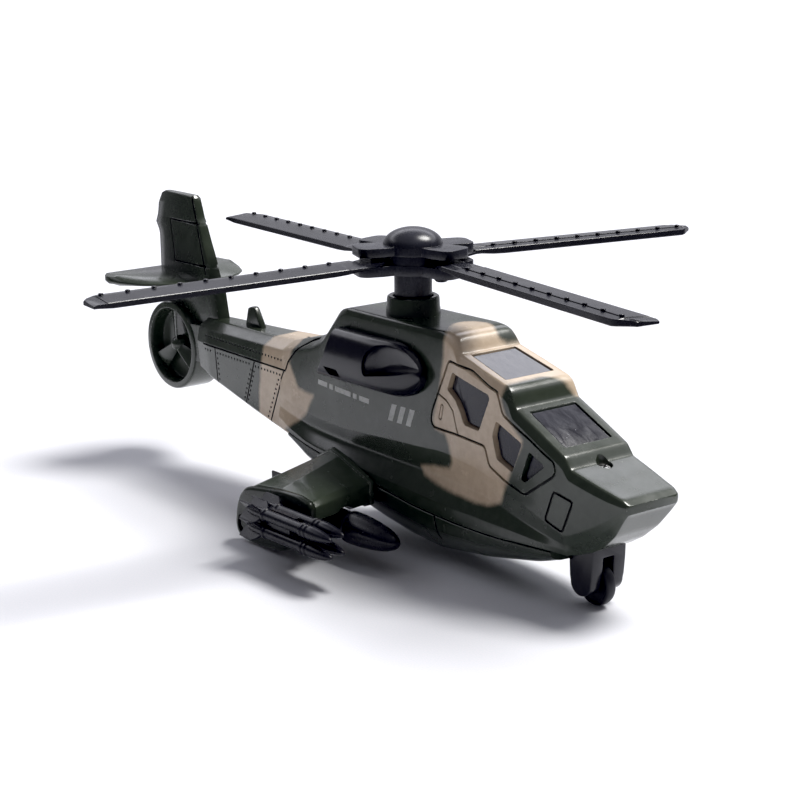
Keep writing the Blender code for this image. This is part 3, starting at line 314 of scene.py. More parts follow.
def plastic(name, low=0.14, high=0.28, tint=(0.0065, 0.0066, 0.0105), radius=0.0002, streaks=(1.0, 1.0, 1.0), gloss=0.42):
    """Moulded black plastic with handling marks, faint flow lines and dust."""
    n = Nodes(name)
    base = n.mix(n.ramp(n.noise(130, 4), 0.3, 0.7), tint, tuple(c * 1.7 for c in tint))
    dust = n.math("MULTIPLY", n.ramp(n.cells(900), 0.10, 0.03), n.ramp(n.noise(160, 3), 0.52, 0.6))
    base = n.mix(n.math("MULTIPLY", dust, 0.35), base, (0.30, 0.30, 0.32))
    soft = n.bevel(radius)
    rub = n.math("MULTIPLY", n.ramp(n.edge(soft), 0.03, 0.2), n.ramp(n.noise(900, 5, 0.7), 0.5, 0.7))
    base = n.mix(n.math("MULTIPLY", rub, 0.35), base, (0.09, 0.09, 0.105))
    n.set("Base Color", base)
    n.shader.inputs["Specular IOR Level"].default_value = gloss
    scratch = n.noise(600, 6, 0.7, 0.4, streaks)
    n.set("Roughness", n.ramp(n.math("ADD", n.math("MULTIPLY", n.noise(240, 5, 0.65), 0.7), n.math("MULTIPLY", scratch, 0.3)),
                              0.3, 0.7, low, high, smooth=False))
    n.set("Normal", n.bump(n.math("ADD", n.noise(1500, 3, 0.6), n.math("MULTIPLY", scratch, 0.4)), 0.000014, 0.6, soft))
    return n.mat


def tinted(name, gloss, coat):
    """Dark bluish glossy glazing with dust and wiping marks."""
    n = Nodes(name)
    wipe = n.noise(160, 5, 0.7, 0.8, (1.0, 2.6, 1.0))
    base = n.mix(n.ramp(wipe, 0.35, 0.7), (0.008, 0.008, 0.015), (0.017, 0.018, 0.030))
    dust = n.math("MULTIPLY", n.ramp(n.cells(700), 0.12, 0.04), n.ramp(n.noise(220, 3), 0.56, 0.64))
    base = n.mix(n.math("MULTIPLY", dust, 0.7), base, (0.55, 0.55, 0.60))
    n.set("Base Color", base)
    n.set("Roughness", n.ramp(wipe, 0.3, 0.75, 0.10, 0.26, smooth=False))
    n.shader.inputs["Specular IOR Level"].default_value = gloss
    n.shader.inputs["Coat Weight"].default_value = coat
    n.shader.inputs["Coat Roughness"].default_value = 0.05
    n.set("Normal", n.bump(n.noise(110, 3, 0.5), 0.000024, 0.5, n.bevel(0.00015)))
    return n.mat


def brushed(name):
    """Plated steel screws and pins with turning marks and a little tarnish."""
    n = Nodes(name)
    n.set("Base Color", n.mix(n.ramp(n.noise(700, 5, 0.7), 0.35, 0.7), (0.42, 0.42, 0.43), (0.62, 0.61, 0.60)))
    n.shader.inputs["Metallic"].default_value = 1.0
    n.set("Roughness", n.ramp(n.noise(2500, 4, 0.7, 0.0, (1.0, 1.0, 7.0)), 0.3, 0.7, 0.24, 0.46, smooth=False))
    n.set("Normal", n.bump(n.noise(3000, 3, 0.6, 0.0, (1.0, 1.0, 6.0)), 0.00001, 0.5, n.bevel(0.00012)))
    return n.mat


def marking(name):
    """Thin pale printed stripes, slightly worn."""
    n = Nodes(name)
    n.set("Base Color", n.mix(n.ramp(n.noise(900, 6, 0.75), 0.45, 0.75, 0.0, 0.8), (0.56, 0.57, 0.55), (0.22, 0.23, 0.21)))
    n.set("Roughness", n.ramp(n.noise(600, 3), 0.3, 0.7, 0.35, 0.5, smooth=False))
    n.set("Normal", n.bump(n.noise(1500, 3), 0.00001, 0.4))
    return n.mat


PAINT = paint("olive_and_tan_paint")
PLAIN_PAINT = paint("olive_paint_plain", camo=False)
# the wings' olive is lightened 1.9 times as painted light, standing in for the light their tops catch
WING_PAINT_PAINTED_LIGHT = paint("olive_paint_wing_painted_light", camo=False, lift=1.9)
# the end plates' olive is darkened to 0.6 as painted shade, standing in for the shade of the rockets beside them
PLATE_PAINT_PAINTED_SHADE = paint("olive_paint_end_plate_painted_shade", camo=False, lift=0.6, gloss=0.22)
# near-black painted shade for the floors of grooves, rivet pits, slots and window pockets
GROOVE_PAINTED_SHADE = groove_painted_shade("groove_painted_shade")
BLACK = plastic("black_plastic_moulded")
BLADE = plastic("black_plastic_blade", 0.16, 0.30)
# the same black plastic as the rest, its tint lightened about 2.3 times as painted sheen; its higher roughness is real
HUB_PAINTED_SHEEN = plastic("black_plastic_hub_painted_sheen", 0.18, 0.34, tint=(0.015, 0.0155, 0.022))
STORES = plastic("black_plastic_stores", 0.20, 0.34, gloss=0.26)
RUBBER = plastic("black_plastic_wheel", 0.38, 0.55)
GLASS = tinted("tinted_glazing", 0.38, 0.0)
TOP_GLASS = tinted("tinted_glazing_top", 0.5, 0.3)
STEEL = brushed("plated_steel")
MARKING = marking("pale_marking")


# ---------------------------------------------------------------- mesh helpers
def closed_object(name, bm, mats):
    bmesh.ops.remove_doubles(bm, verts=bm.verts, dist=1e-7)
    bmesh.ops.recalc_face_normals(bm, faces=bm.faces)
    mesh = bpy.data.meshes.new(name)
    bm.to_mesh(mesh)
    bm.free()
    obj = bpy.data.objects.new(name, mesh)
    bpy.context.scene.collection.objects.link(obj)
    for mat in mats:
        mesh.materials.append(mat)
    return obj


def loft(rings, bm=None, index=0):
    """A closed body through rings of the same number of points."""
    bm = bm or bmesh.new()
    rows = [[bm.verts.new(place(*p)) for p in ring] for ring in rings]
    count = len(rows[0])
    made = []
    for a, b in zip(rows, rows[1:]):
        for i in range(count):
            j = (i + 1) % count
            made.append(bm.faces.new((a[i], a[j], b[j], b[i])))
    made.append(bm.faces.new(rows[0]))
    made.append(bm.faces.new(list(reversed(rows[-1]))))
    for face in made:
        face.material_index = index
    return bm


def prism(outline, axis, low, high, bm=None, index=0):
    """A flat outline pushed along an axis: (x, z) outlines along y, (x, y) outlines along z."""
    if axis == "y":
        return loft([[(a, low, b) for a, b in outline], [(a, high, b) for a, b in outline]], bm, index)
    return loft([[(a, b, low) for a, b in outline], [(a, b, high) for a, b in outline]], bm, index)


def turned(profile, centre, axis, sides=48, bm=None, index=0):
    """A closed turned body from (radius, distance) points; points on the axis become poles, and a profile that ends where
    it began is a ring."""
    bm = bm or bmesh.new()
    ring_shaped = profile[0] == profile[-1]
    points = profile[:-1] if ring_shaped else profile
    turn = Vector((0, 0, 1)).rotation_difference(Vector(axis)).to_matrix()
    origin = place(*centre)
    rows = []
    for r, d in points:
        if r < 1e-6:
            rows.append([bm.verts.new(origin + turn @ Vector((0, 0, d * MM)))])
            continue
        rows.append([bm.verts.new(origin + turn @ Vector((r * MM * math.cos(2 * math.pi * i / sides),
                                                           r * MM * math.sin(2 * math.pi * i / sides), d * MM))) for i in range(sides)])
    pairs = list(zip(rows, rows[1:]))
    if ring_shaped:
        pairs.append((rows[-1], rows[0]))
    for a, b in pairs:
        for i in range(sides):
            j = (i + 1) % sides
            corners = [a[i % len(a)], a[j % len(a)], b[j % len(b)], b[i % len(b)]]
            seen = []
            for v in corners:
                if v not in seen:
                    seen.append(v)
            if len(seen) > 2:
                bm.faces.new(seen).material_index = index
    if not ring_shaped:
        for row in (rows[0], rows[-1]):
            if len(row) > 1:
                bm.faces.new(row).material_index = index
    return bm


def rod(start, end, r1, r2=None, sides=32, bm=None, index=0):
    """A closed cylinder or cone between two points."""
    a, b = Vector(start), Vector(end)
    length = (b - a).length
    return turned([(r1, 0.0), (r1 if r2 is None else r2, length)], start, tuple((b - a).normalized()), sides, bm, index)


def boolean(obj, tool, operation="DIFFERENCE"):
    """One exact Boolean with a mesh under construction, applied at once; the cutter's material indices are kept."""
    helper = closed_object("cutter", tool, [PAINT, GROOVE_PAINTED_SHADE])
    step = obj.modifiers.new("step", "BOOLEAN")
    step.operation = operation
    step.solver = "EXACT"
    step.material_mode = "INDEX"
    step.object = helper
    bpy.context.view_layer.update()
    result = bpy.data.meshes.new_from_object(obj.evaluated_get(bpy.context.evaluated_depsgraph_get()))
    if not result.polygons:
        raise RuntimeError("empty Boolean on " + obj.name)
    obj.modifiers.clear()
    obj.data = result
    bpy.data.objects.remove(helper, do_unlink=True)
    return obj


def bevelled(obj, width, segments=3, degrees=30, clamp=True):
    """Rounds the sharp edges in the mesh itself."""
    step = obj.modifiers.new("edges", "BEVEL")
    step.width = width * MM
    step.segments = segments
    step.limit_method = "ANGLE"
    step.angle_limit = math.radians(degrees)
    step.use_clamp_overlap = clamp
    bpy.context.view_layer.update()
    result = bpy.data.meshes.new_from_object(obj.evaluated_get(bpy.context.evaluated_depsgraph_get()))
    obj.modifiers.clear()
    obj.data = result
    return obj


def shade(obj, degrees=32):
    obj.data.shade_smooth()
    obj.data.set_sharp_from_angle(angle=math.radians(degrees))
    return obj


def mirror_copy(obj, name):
    bm = bmesh.new()
    bm.from_mesh(obj.data)
    bmesh.ops.transform(bm, verts=bm.verts, matrix=Matrix.Scale(-1, 4, (0, 1, 0)))
    bmesh.ops.reverse_faces(bm, faces=bm.faces)
    mesh = bpy.data.meshes.new(name)
    bm.to_mesh(mesh)
    bm.free()
    twin = bpy.data.objects.new(name, mesh)
    bpy.context.scene.collection.objects.link(twin)
    for mat in obj.data.materials:
        mesh.materials.append(mat)
    mesh.set_sharp_from_angle(angle=math.radians(32))
    return twin


def finish_piece(obj, body, slot, *nodes):
    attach(obj, body)
    if nodes:
        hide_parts(*nodes)
    return obj


def between(table, x):
    keys = sorted(table)
    if x <= keys[0]:
        return table[keys[0]]
    if x >= keys[-1]:
        return table[keys[-1]]
    for a, b in zip(keys, keys[1:]):
        if a <= x <= b:
            t = (x - a) / (b - a)
            if isinstance(table[a][0], tuple):
                return tuple(tuple(p + (q - p) * t for p, q in zip(u, v)) for u, v in zip(table[a], table[b]))
            return tuple(p + (q - p) * t for p, q in zip(table[a], table[b]))


def eased(table, x, reach=0.6):
    """The section at x, averaged a little along the body, so that its creases are softly rounded."""
    found = [between(table, x + s * reach / 6) for s in range(-6, 7)]
    if isinstance(found[0][0], tuple):
        return [tuple(sum(f[i][k] for f in found) / 13 for k in (0, 1)) for i in range(len(found[0]))]
    return [sum(f[i] for f in found) / 13 for i in range(len(found[0]))]


def rounded_chain(points, radii, counts, arc=4):
    """A polyline with its inner corners rounded and its straights divided, always to the same number of points."""
    pieces = [[points[0]]]
    for i in range(1, len(points) - 1):
        p, a, b = (Vector(points[k]) for k in (i, i - 1, i + 1))
        la, lb = (a - p).length, (b - p).length
        ua, ub = (a - p) / la, (b - p) / lb
        turn = math.pi - math.acos(max(-1.0, min(1.0, ua.dot(ub))))
        d = min(radii[i - 1] * math.tan(turn / 2), 0.42 * la, 0.42 * lb)
        d = max(d, 0.01)
        s, e = p + ua * d, p + ub * d
        row = []
        for k in range(arc + 1):
            t = k / arc
            row.append(tuple(s * (1 - t) ** 2 + p * 2 * t * (1 - t) + e * t ** 2))
        pieces.append(row)
    pieces.append([points[-1]])
    out = list(pieces[0])
    for i in range(1, len(pieces)):
        a, b = Vector(out[-1]), Vector(pieces[i][0])
        for k in range(1, counts[i - 1]):
            out.append(tuple(a.lerp(b, k / counts[i - 1])))
        out += pieces[i]
    return out


def whole_ring(x, half):
    port = [(x, y, z) for y, z in half]
    return port + [(x, -y, z) for y, z in reversed(half[1:-1])]


def body_ring(x, d=0.0):
    edges = eased(BODY, x, 0.6 if x < 20.0 else 1.1 if x < 28.4 else 0.3)
    points = [(0.0, edges[0][1])] + edges + [(0.0, edges[-1][1])]
    crisp = max(0.0, min(1.0, (x - 27.0) / 4.0))
    half = rounded_chain(points, (1.4 - 0.7 * crisp, 1.5 - 0.7 * crisp, 1.8 - 0.5 * crisp, 2.4 - 0.8 * crisp, 0.7, 0.25), (8, 2, 24, 4, 4, 3, 5))
    if d:
        cy, cz = 0.0, -45.2
        half = [(y * (1 - d), cz + (z - cz) * (1 - d)) for y, z in half]
    return whole_ring(x, half)


def boom_ring(x):
    edges = eased(BOOM, x)
    points = [(0.0, edges[0][1])] + edges + [(0.0, edges[-1][1])]
    return whole_ring(x, rounded_chain(points, (1.2, 1.6, 0.5, 1.4, 0.6), (5, 3, 5, 16, 1, 4)))


def steps(low, high, size):
    count = max(1, round((high - low) / size))
    return [low + (high - low) * i / count for i in range(count + 1)]


class Surface:
    """Ray casts onto a finished skin, in design millimetres."""

    def __init__(self, obj):
        bm = bmesh.new()
        bm.from_mesh(obj.data)
        self.tree = BVHTree.FromBMesh(bm)
        bm.free()

    def side(self, x, z, side):
        origin = place(x, side * 60.0, z)
        hit = self.tree.ray_cast(origin, Vector((0, -side, 0)), 0.2)
        return None if hit[0] is None else hit[0].y / MM

    def top(self, x, y):
        hit = self.tree.ray_cast(place(x, y, 30.0), Vector((0, 0, -1)), 0.3)
        return None if hit[0] is None else hit[0].z / MM - BLADE_PLANE_Z


def densify(path, closed, size):
    out = []
    ends = list(zip(path, path[1:] + path[:1])) if closed else list(zip(path, path[1:]))
    for a, b in ends:
        count = max(1, math.ceil(math.dist(a, b) / size))
        for k in range(count):
            out.append((a[0] + (b[0] - a[0]) * k / count, a[1] + (b[1] - a[1]) * k / count))
    if not closed:
        out.append(path[-1])
    return out


def groove(bm, surface, path, axis, side, width, depth, closed=False, size=1.0, rise=1.2, walls=1):
    """A thin cutter along a path on the flank (axis y, path x z) or on top (axis z, path x y); its floor and ends carry
    the painted shade (index 1), and its walls too unless walls is 0.
    """
    points = densify(path, closed, size)
    n = len(points)
    rings = []
    last = None
    for i, p in enumerate(points):
        before = points[i - 1] if (closed or i > 0) else None
        after = points[(i + 1) % n] if (closed or i < n - 1) else None
        d1 = Vector((p[0] - before[0], p[1] - before[1])).normalized() if before else None
        d2 = Vector((after[0] - p[0], after[1] - p[1])).normalized() if after else None
        d1, d2 = d1 or d2, d2 or d1
        n1, n2 = Vector((-d1.y, d1.x)), Vector((-d2.y, d2.x))
        m = (n1 + n2)
        m = m.normalized() if m.length > 1e-6 else n1
        k = min(1.6, 1.0 / max(0.5, m.dot(n1)))
        ring = []
        levels = []
        for s in (-1, 1):
            q = (p[0] + m.x * k * s * width / 2, p[1] + m.y * k * s * width / 2)
            level = surface.side(q[0], q[1], side) if axis == "y" else surface.top(q[0], q[1])
            if level is None:
                level = last
            if level is None:
                return
            last = level
            levels.append((q, level))
        sign = side if axis == "y" else 1
        (qa, la), (qb, lb) = levels
        for q, level, lift in ((qa, la, rise), (qb, lb, rise), (qb, lb, -depth), (qa, la, -depth)):
            h = level + sign * lift
            ring.append(place(q[0], h, q[1]) if axis == "y" else place(q[0], q[1], h))
        rings.append([bm.verts.new(v) for v in ring])
    pairs = list(zip(rings, rings[1:])) + ([(rings[-1], rings[0])] if closed else [])
    for a, b in pairs:
        for i in range(4):
            j = (i + 1) % 4
            bm.faces.new((a[i], a[j], b[j], b[i])).material_index = 1 if i == 2 else walls
    if not closed:
        bm.faces.new(rings[0]).material_index = 1
        bm.faces.new(list(reversed(rings[-1]))).material_index = 1


def pocket(bm, surface, outline, axis, side, depth, rise=2.0, wall=0):
    """A cutter with an outline on the surface: painted walls and a floor in painted shade (index 1) that follows the
    surface.
    """
    top, low = [], []
    for a, b in outline:
        level = surface.side(a, b, side) if axis == "y" else surface.top(a, b)
        sign = side if axis == "y" else 1
        for lift, row in ((rise, top), (-depth, low)):
            h = level + sign * lift
            row.append(bm.verts.new(place(a, h, b) if axis == "y" else place(a, b, h)))
    n = len(outline)
    for i in range(n):
        j = (i + 1) % n
        bm.faces.new((top[i], top[j], low[j], low[i])).material_index = wall
    for row in (top, low):
        face = bm.faces.new(row)
        face.material_index = 1
        bmesh.ops.triangulate(bm, faces=[face])


def soft_corners(outline, radius, arc=3):
    """A closed outline with rounded corners."""
    out = []
    n = len(outline)
    for i in range(n):
        p, a, b = (Vector(outline[k % n]) for k in (i, i - 1, i + 1))
        la, lb = (a - p).length, (b - p).length
        d = min(radius, 0.4 * la, 0.4 * lb)
        s, e = p + (a - p) / la * d, p + (b - p) / lb * d
        for k in range(arc + 1):
            t = k / arc
            out.append(tuple(s * (1 - t) ** 2 + p * 2 * t * (1 - t) + e * t ** 2))
    return out


def shrunk(outline, d):
    """A closed outline set in by d."""
    n = len(outline)
    area = sum(outline[i][0] * outline[(i + 1) % n][1] - outline[(i + 1) % n][0] * outline[i][1] for i in range(n))
    sign = 1 if area > 0 else -1
    out = []
    for i in range(n):
        p, a, b = (Vector(outline[k % n]) for k in (i, i - 1, i + 1))
        d1, d2 = (p - a).normalized(), (b - p).normalized()
        n1, n2 = Vector((-d1.y, d1.x)) * sign, Vector((-d2.y, d2.x)) * sign
        k = 1 + n1.dot(n2)
        out.append(tuple(p + (n1 + n2) * (d / max(0.35, k))))
    return out


def signed_distance(points, polygon):
    """Distance in mm from each point to the polygon's outline, positive inside."""
    poly = np.array(polygon, float)
    a, b = poly, np.roll(poly, -1, axis=0)
    best = np.full(len(points), 1e9)
    inside = np.zeros(len(points), bool)
    for p, q in zip(a, b):
        d = q - p
        t = np.clip(((points - p) @ d) / max(1e-9, d @ d), 0, 1)
        best = np.minimum(best, np.linalg.norm(points - (p + t[:, None] * d), axis=1))
        crosses = (p[1] > points[:, 1]) != (q[1] > points[:, 1])
        if crosses.any():
            with np.errstate(divide="ignore", invalid="ignore"):
                x = p[0] + (points[:, 1] - p[1]) * (q[0] - p[0]) / (q[1] - p[1] if q[1] != p[1] else 1e-12)
            inside ^= crosses & (points[:, 0] < x)
    return np.where(inside, best, -best)


def camouflage(obj):
    """Stores how far each point lies inside a tan patch, 0.5 on its outline, as a vertex attribute."""
    mesh = obj.data
    co = np.empty(len(mesh.vertices) * 3, np.float32)
    mesh.vertices.foreach_get("co", co)
    co = co.reshape(-1, 3) / MM - np.array([AXIS_X, 0, BLADE_PLANE_Z])
    normal = np.empty(len(mesh.vertices) * 3, np.float32)
    mesh.vertices.foreach_get("normal", normal)
    normal = normal.reshape(-1, 3)
    flank = np.max([signed_distance(co[:, [0, 2]], p) for p in TAN_FLANK], axis=0)
    top = np.max([signed_distance(co[:, [0, 1]], p) for p in TAN_TOP], axis=0)
    lateral = np.clip((np.abs(normal[:, 1]) - 0.45) / 0.2, 0, 1)
    lateral = np.maximum(lateral, np.clip((-32.0 - co[:, 2]) / 4.0, 0, 1) * (co[:, 0] < 44.0))
    lateral = np.maximum(lateral, np.clip((-44.0 - co[:, 2]) / 3.0, 0, 1))
    distance = top * (1 - lateral) + flank * lateral
    value = np.clip((distance + 4.0) / 8.0, 0, 1).astype(np.float32)
    attribute = mesh.attributes.new("tan", "FLOAT", "POINT")
    attribute.data.foreach_set("value", value)


# ---------------------------------------------------------------- fuselage skin
skin = closed_object("fuselage_skin", loft([body_ring(x) for x in steps(-46.0, 21.6, 0.9) + steps(22.2, 31.2, 0.45) + steps(31.9, 44.6, 0.9) + steps(45.0, 51.0, 0.4) + steps(51.8, 65.4, 0.9) + steps(65.8, 69.4, 0.4) + steps(70.2, 84.6, 0.8)] + [body_ring(84.95, 0.10)]), [PAINT, GROOVE_PAINTED_SHADE])
boolean(skin, loft([boom_ring(x) for x in steps(-90.0, -38.0, 0.9)]), "UNION")
surface = Surface(skin)

SIDE_WINDOWS = [soft_corners(o, 0.8) for o in (WINDOW_REAR, WINDOW_MIDDLE, WINDOW_FRONT)]
TOP_WINDOWS = [soft_corners(o, 0.5) for o in (WINDOW_ROOF, WINDSHIELD)]
cuts = bmesh.new()
for side in (-1, 1):
    for outline in SIDE_WINDOWS:
        pocket(cuts, surface, outline, "y", side, 2.0)
for outline in TOP_WINDOWS:
    pocket(cuts, surface, outline, "z", 1, 1.1)
turned([(0, -30.0), (6.0, -30.0), (6.0, -17.9), (2.9, -17.9), (2.9, -15.2), (5.05, -15.2), (5.05, -5.0), (0, -5.0)], (0, 0, 0), (0, 0, 1), 40, cuts)
turned([(0, -51.0), (1.2, -51.0), (1.2, -42.2), (1.95, -42.2), (1.95, -36.0), (0, -36.0)], (69.1, 0, 0), (0, 0, 1), 24, cuts)
turned([(0, -32.5), (1.2, -32.5), (1.2, -28.1), (1.95, -28.1), (1.95, -22.0), (0, -22.0)], (-37.5, 0, 0), (0, 0, 1), 24, cuts)
prism([(64.0, -62.0), (71.8, -62.0), (71.8, -55.5), (64.0, -55.5)], "y", -FORK_HALF - GAP, FORK_HALF + GAP, cuts, 1)
boolean(skin, cuts)

DOOR = [(25.8, -21.2), (34.6, -22.0), (41.8, -24.8), (44.3, -25.3), (45.4, -28.2), (46.4, -30.4), (48.9, -31.6), (55.8, -34.4), (60.9, -36.9),
        (63.9, -38.1), (64.3, -40.2), (63.6, -41.5), (54.2, -48.0), (47.6, -46.1), (41.9, -43.7), (40.1, -39.2), (30.2, -38.6), (23.9, -38.6),
        (20.8, -38.5), (19.7, -37.0), (20.1, -34.4), (22.4, -29.0)]
DOOR = soft_corners(DOOR, 0.9, 2)
HATCH = soft_corners([(63.7, -45.0), (69.7, -46.2), (66.2, -54.2), (60.8, -52.4)], 0.8, 2)
cuts = bmesh.new()
for side in (-1, 1):
    groove(cuts, surface, DOOR, "y", side, 0.62, 0.55, closed=True, walls=0)
    groove(cuts, surface, HATCH, "y", side, 0.6, 0.5, closed=True)
    groove(cuts, surface, [(-86.2, -36.55), (-43.6, -36.6)], "y", side, 0.5, 0.5)
boolean(skin, cuts)
cuts = bmesh.new()
for side in (-1, 1):
    groove(cuts, surface, [(22.2, -30.0), (25.4, -31.1), (28.0, -33.1), (30.3, -38.5)], "y", side, 0.45, 0.45, walls=0)
    groove(cuts, surface, soft_corners([(23.4, -32.3), (24.3, -32.6), (23.6, -36.2), (22.6, -36.0)], 0.4, 2), "y", side, 0.34, 0.4, closed=True, size=0.6, walls=0)
    groove(cuts, surface, [(-79.6, -36.5), (-79.6, -47.8)], "y", side, 0.5, 0.45)
    groove(cuts, surface, [(-59.0, -36.6), (-65.2, -50.6)], "y", side, 0.5, 0.45)
    groove(cuts, surface, [(-44.4, -36.6), (-52.7, -53.2)], "y", side, 0.5, 0.45)
    groove(cuts, surface, [(-43.6, -36.4), (-42.6, -34.0), (-40.4, -31.7), (-37.6, -29.2), (-33.7, -26.9), (-30.0, -25.6)], "y", side, 0.6, 0.45)
groove(cuts, surface, [(-45.6, 0.0), (-41.0, 0.0)], "z", 1, 0.9, 0.6)
boolean(skin, cuts)
cuts = bmesh.new()


# rivet pits; their floors take the near-black painted shade of index 1
def stud_row(points, side, radius=0.34, depth=0.35):
    for x, z in points:
        y = surface.side(x, z, side)
        if y is not None:
            rod((x, y - side * depth, z), (x, y + side * 0.8, z), radius, sides=8, bm=cuts, index=1)


def along(a, b, pitch, inset=0.0):
    length = math.dist(a, b)
    count = max(1, int((length - 2 * inset) / pitch))
    return [(a[0] + (b[0] - a[0]) * (inset + pitch * k) / length, a[1] + (b[1] - a[1]) * (inset + pitch * k) / length) for k in range(count + 1)]


for side in (-1, 1):
    stud_row(along((-85.0, -34.2), (-45.6, -34.2), 1.55), side)
    stud_row(along((-85.2, -38.0), (-80.8, -38.0), 1.5), side)
    stud_row(along((-78.4, -38.0), (-60.6, -38.0), 1.5), side)
    stud_row(along((-58.6, -38.2), (-46.2, -38.2), 1.5), side)
    stud_row(along((-78.5, -39.6), (-78.5, -46.4), 1.5), side)
    stud_row(along((-61.2, -39.6), (-65.9, -49.6), 1.6), side)
    stud_row(along((-59.6, -39.8), (-63.9, -49.6), 1.6), side)
    stud_row(along((-47.4, -39.8), (-54.0, -52.4), 1.6), side)
boolean(skin, cuts)
camouflage(skin)
shade(skin, 38)
finish_piece(skin, "airframe", "olive_paint", "upper_fuselage")

# ---------------------------------------------------------------- glazing, one panel in each window pocket
glass = bmesh.new()


def panel(bm, outline, axis, side, top, low):
    upper_row, lower_row, rim = [], [], []
    inner = shrunk(outline, 0.16)
    for (a, b), (ia, ib) in zip(outline, inner):
        level = surface.side(a, b, side) if axis == "y" else surface.top(a, b)
        sign = side if axis == "y" else 1
        for row, (pa, pb), d in ((upper_row, (ia, ib), top), (rim, (a, b), top + 0.14), (lower_row, (a, b), low)):
            h = level - sign * d
            row.append(bm.verts.new(place(pa, h, pb) if axis == "y" else place(pa, pb, h)))
    n = len(outline)
    for first, second in ((upper_row, rim), (rim, lower_row)):
        for i in range(n):
            j = (i + 1) % n
            bm.faces.new((first[i], first[j], second[j], second[i]))
    for row in (upper_row, lower_row):
        bmesh.ops.triangulate(bm, faces=[bm.faces.new(row)])
    if axis == "z":
        chosen = set(upper_row + rim + lower_row)
        for face in bm.faces:
            if all(v in chosen for v in face.verts):
                face.material_index = 1


for side in (-1, 1):
    for outline in SIDE_WINDOWS:
        panel(glass, shrunk(outline, 0.38), "y", side, 1.15, 2.2)
for outline in TOP_WINDOWS:
    panel(glass, shrunk(outline, 0.36), "z", 1, 0.28, 1.3)
glazing = shade(closed_object("cockpit_panes", glass, [GLASS, TOP_GLASS]), 18)
finish_piece(glazing, "airframe", "dark_glazing", "cockpit_glazing")

# ---------------------------------------------------------------- collar, spine aerial, plain markings
collar = closed_object("mast_collar", turned(
    [(5.05, -10.9), (5.25, -10.45), (6.15, -10.4), (6.5, -10.65), (6.62, -11.1), (6.72, -13.2), (6.8, -13.5), (6.9, -15.2), (6.95, -16.6), (5.05, -16.6),
     (5.05, -10.9)], (0, 0, 0), (0, 0, 1), 64), [PLAIN_PAINT])
finish_piece(shade(collar), "airframe", "olive_paint")
aerial = closed_object("spine_aerial", prism([(-73.4, -31.0), (-65.8, -31.0), (-66.0, -29.4), (-68.9, -24.9), (-69.5, -24.4), (-70.6, -24.4), (-72.2, -25.0), (-73.4, -29.5)],
                                             "y", -0.95, 0.95), [PLAIN_PAINT])
finish_piece(shade(bevelled(aerial, 0.35, 3)), "airframe", "olive_paint")

stripes = bmesh.new()


def stripe(outline, side):
    """A thin printed stripe that follows the flank."""
    low, high = [], []
    for x, z in outline:
        y = surface.side(x, z, side)
        low.append(stripes.verts.new(place(x, y - side * 0.25, z)))
        high.append(stripes.verts.new(place(x, y + side * 0.035, z)))
    n = len(outline)
    for i in range(n):
        j = (i + 1) % n
        stripes.faces.new((low[i], low[j], high[j], high[i]))
    stripes.faces.new(low)
    stripes.faces.new(high)


for side in (-1, 1):
    for x0, x1 in ((-27.6, -23.4), (-22.4, -20.8), (-19.8, -13.0), (-12.0, -10.4), (-9.4, -5.2)):
        tilt = 0.045
        stripe([(x0, -35.7 - (x0 + 27.6) * tilt), (x1, -35.7 - (x1 + 27.6) * tilt), (x1, -37.0 - (x1 + 27.6) * tilt), (x0, -37.0 - (x0 + 27.6) * tilt)], side)
    for k in range(3):
        x0 = 4.2 + 3.6 * k
        stripe([(x0, -36.0), (x0 + 1.9, -36.0), (x0 + 0.4, -40.4), (x0 - 1.5, -40.4)], side)
marks = closed_object("plain_stripes", stripes, [MARKING])
finish_piece(shade(marks), "airframe", "olive_paint")


# ---------------------------------------------------------------- belly
def belly_ring(x):
    wide, seam = eased(BODY, x)[5]
    foot, low, mid = eased(BELLY, x, 1.5)
    seam -= GAP
    points = [(0.0, seam), (wide, seam), (wide - 0.3, seam + (low - seam) * 0.45), (foot + (wide - foot) * 0.45, seam + (low - seam) * 0.82), (foot, low), (0.0, mid)]
    return whole_ring(x, rounded_chain(points, (0.3, 4.0, 4.0, 1.4), (4, 6, 4, 2, 6)))


belly = closed_object("belly_tub", loft([belly_ring(x) for x in steps(-40.8, 62.0, 0.9)]), [PAINT, GROOVE_PAINTED_SHADE])
belly_surface = Surface(belly)
cuts = bmesh.new()
for side in (-1, 1):
    groove(cuts, belly_surface, [(23.0, -60.2), (23.3, -62.0), (24.3, -66.2)], "y", side, 0.5, 0.4)
boolean(belly, cuts)
camouflage(belly)
finish_piece(shade(belly, 38), "airframe", "olive_paint", "belly_shell")


# ---------------------------------------------------------------- engine housings
def flank_at(x, z):
    (ya, za), (yb, zb) = between(BODY, x)[1:3]
    return ya + (yb - ya) * max(0.0, min(1.0, (z - za) / (zb - za))) + GAP + 0.02


def housing_ring(x):
    k = 1.0 if x <= 5.0 else math.sqrt(max(0.0, 1 - ((x - 5.0) / 12.9) ** 2))
    mid, tall = -26.7, 6.9
    out = 14.9 if x <= -2 else 14.9 - 2.4 * (x + 2.0) / 20.0
    top, low = mid + tall * k, mid - tall * k
    face = flank_at(x, top)
    ring = [(x, -face, top)]
    for i in range(1, 30):
        a = math.pi * i / 30
        ring.append((x, -(face + (out - face) * math.sin(a) ** 0.62), mid + tall * k * math.cos(a)))
    for j in range(8):
        z = low + (top - low) * j / 8
        ring.append((x, -flank_at(x, z), z))
    return ring


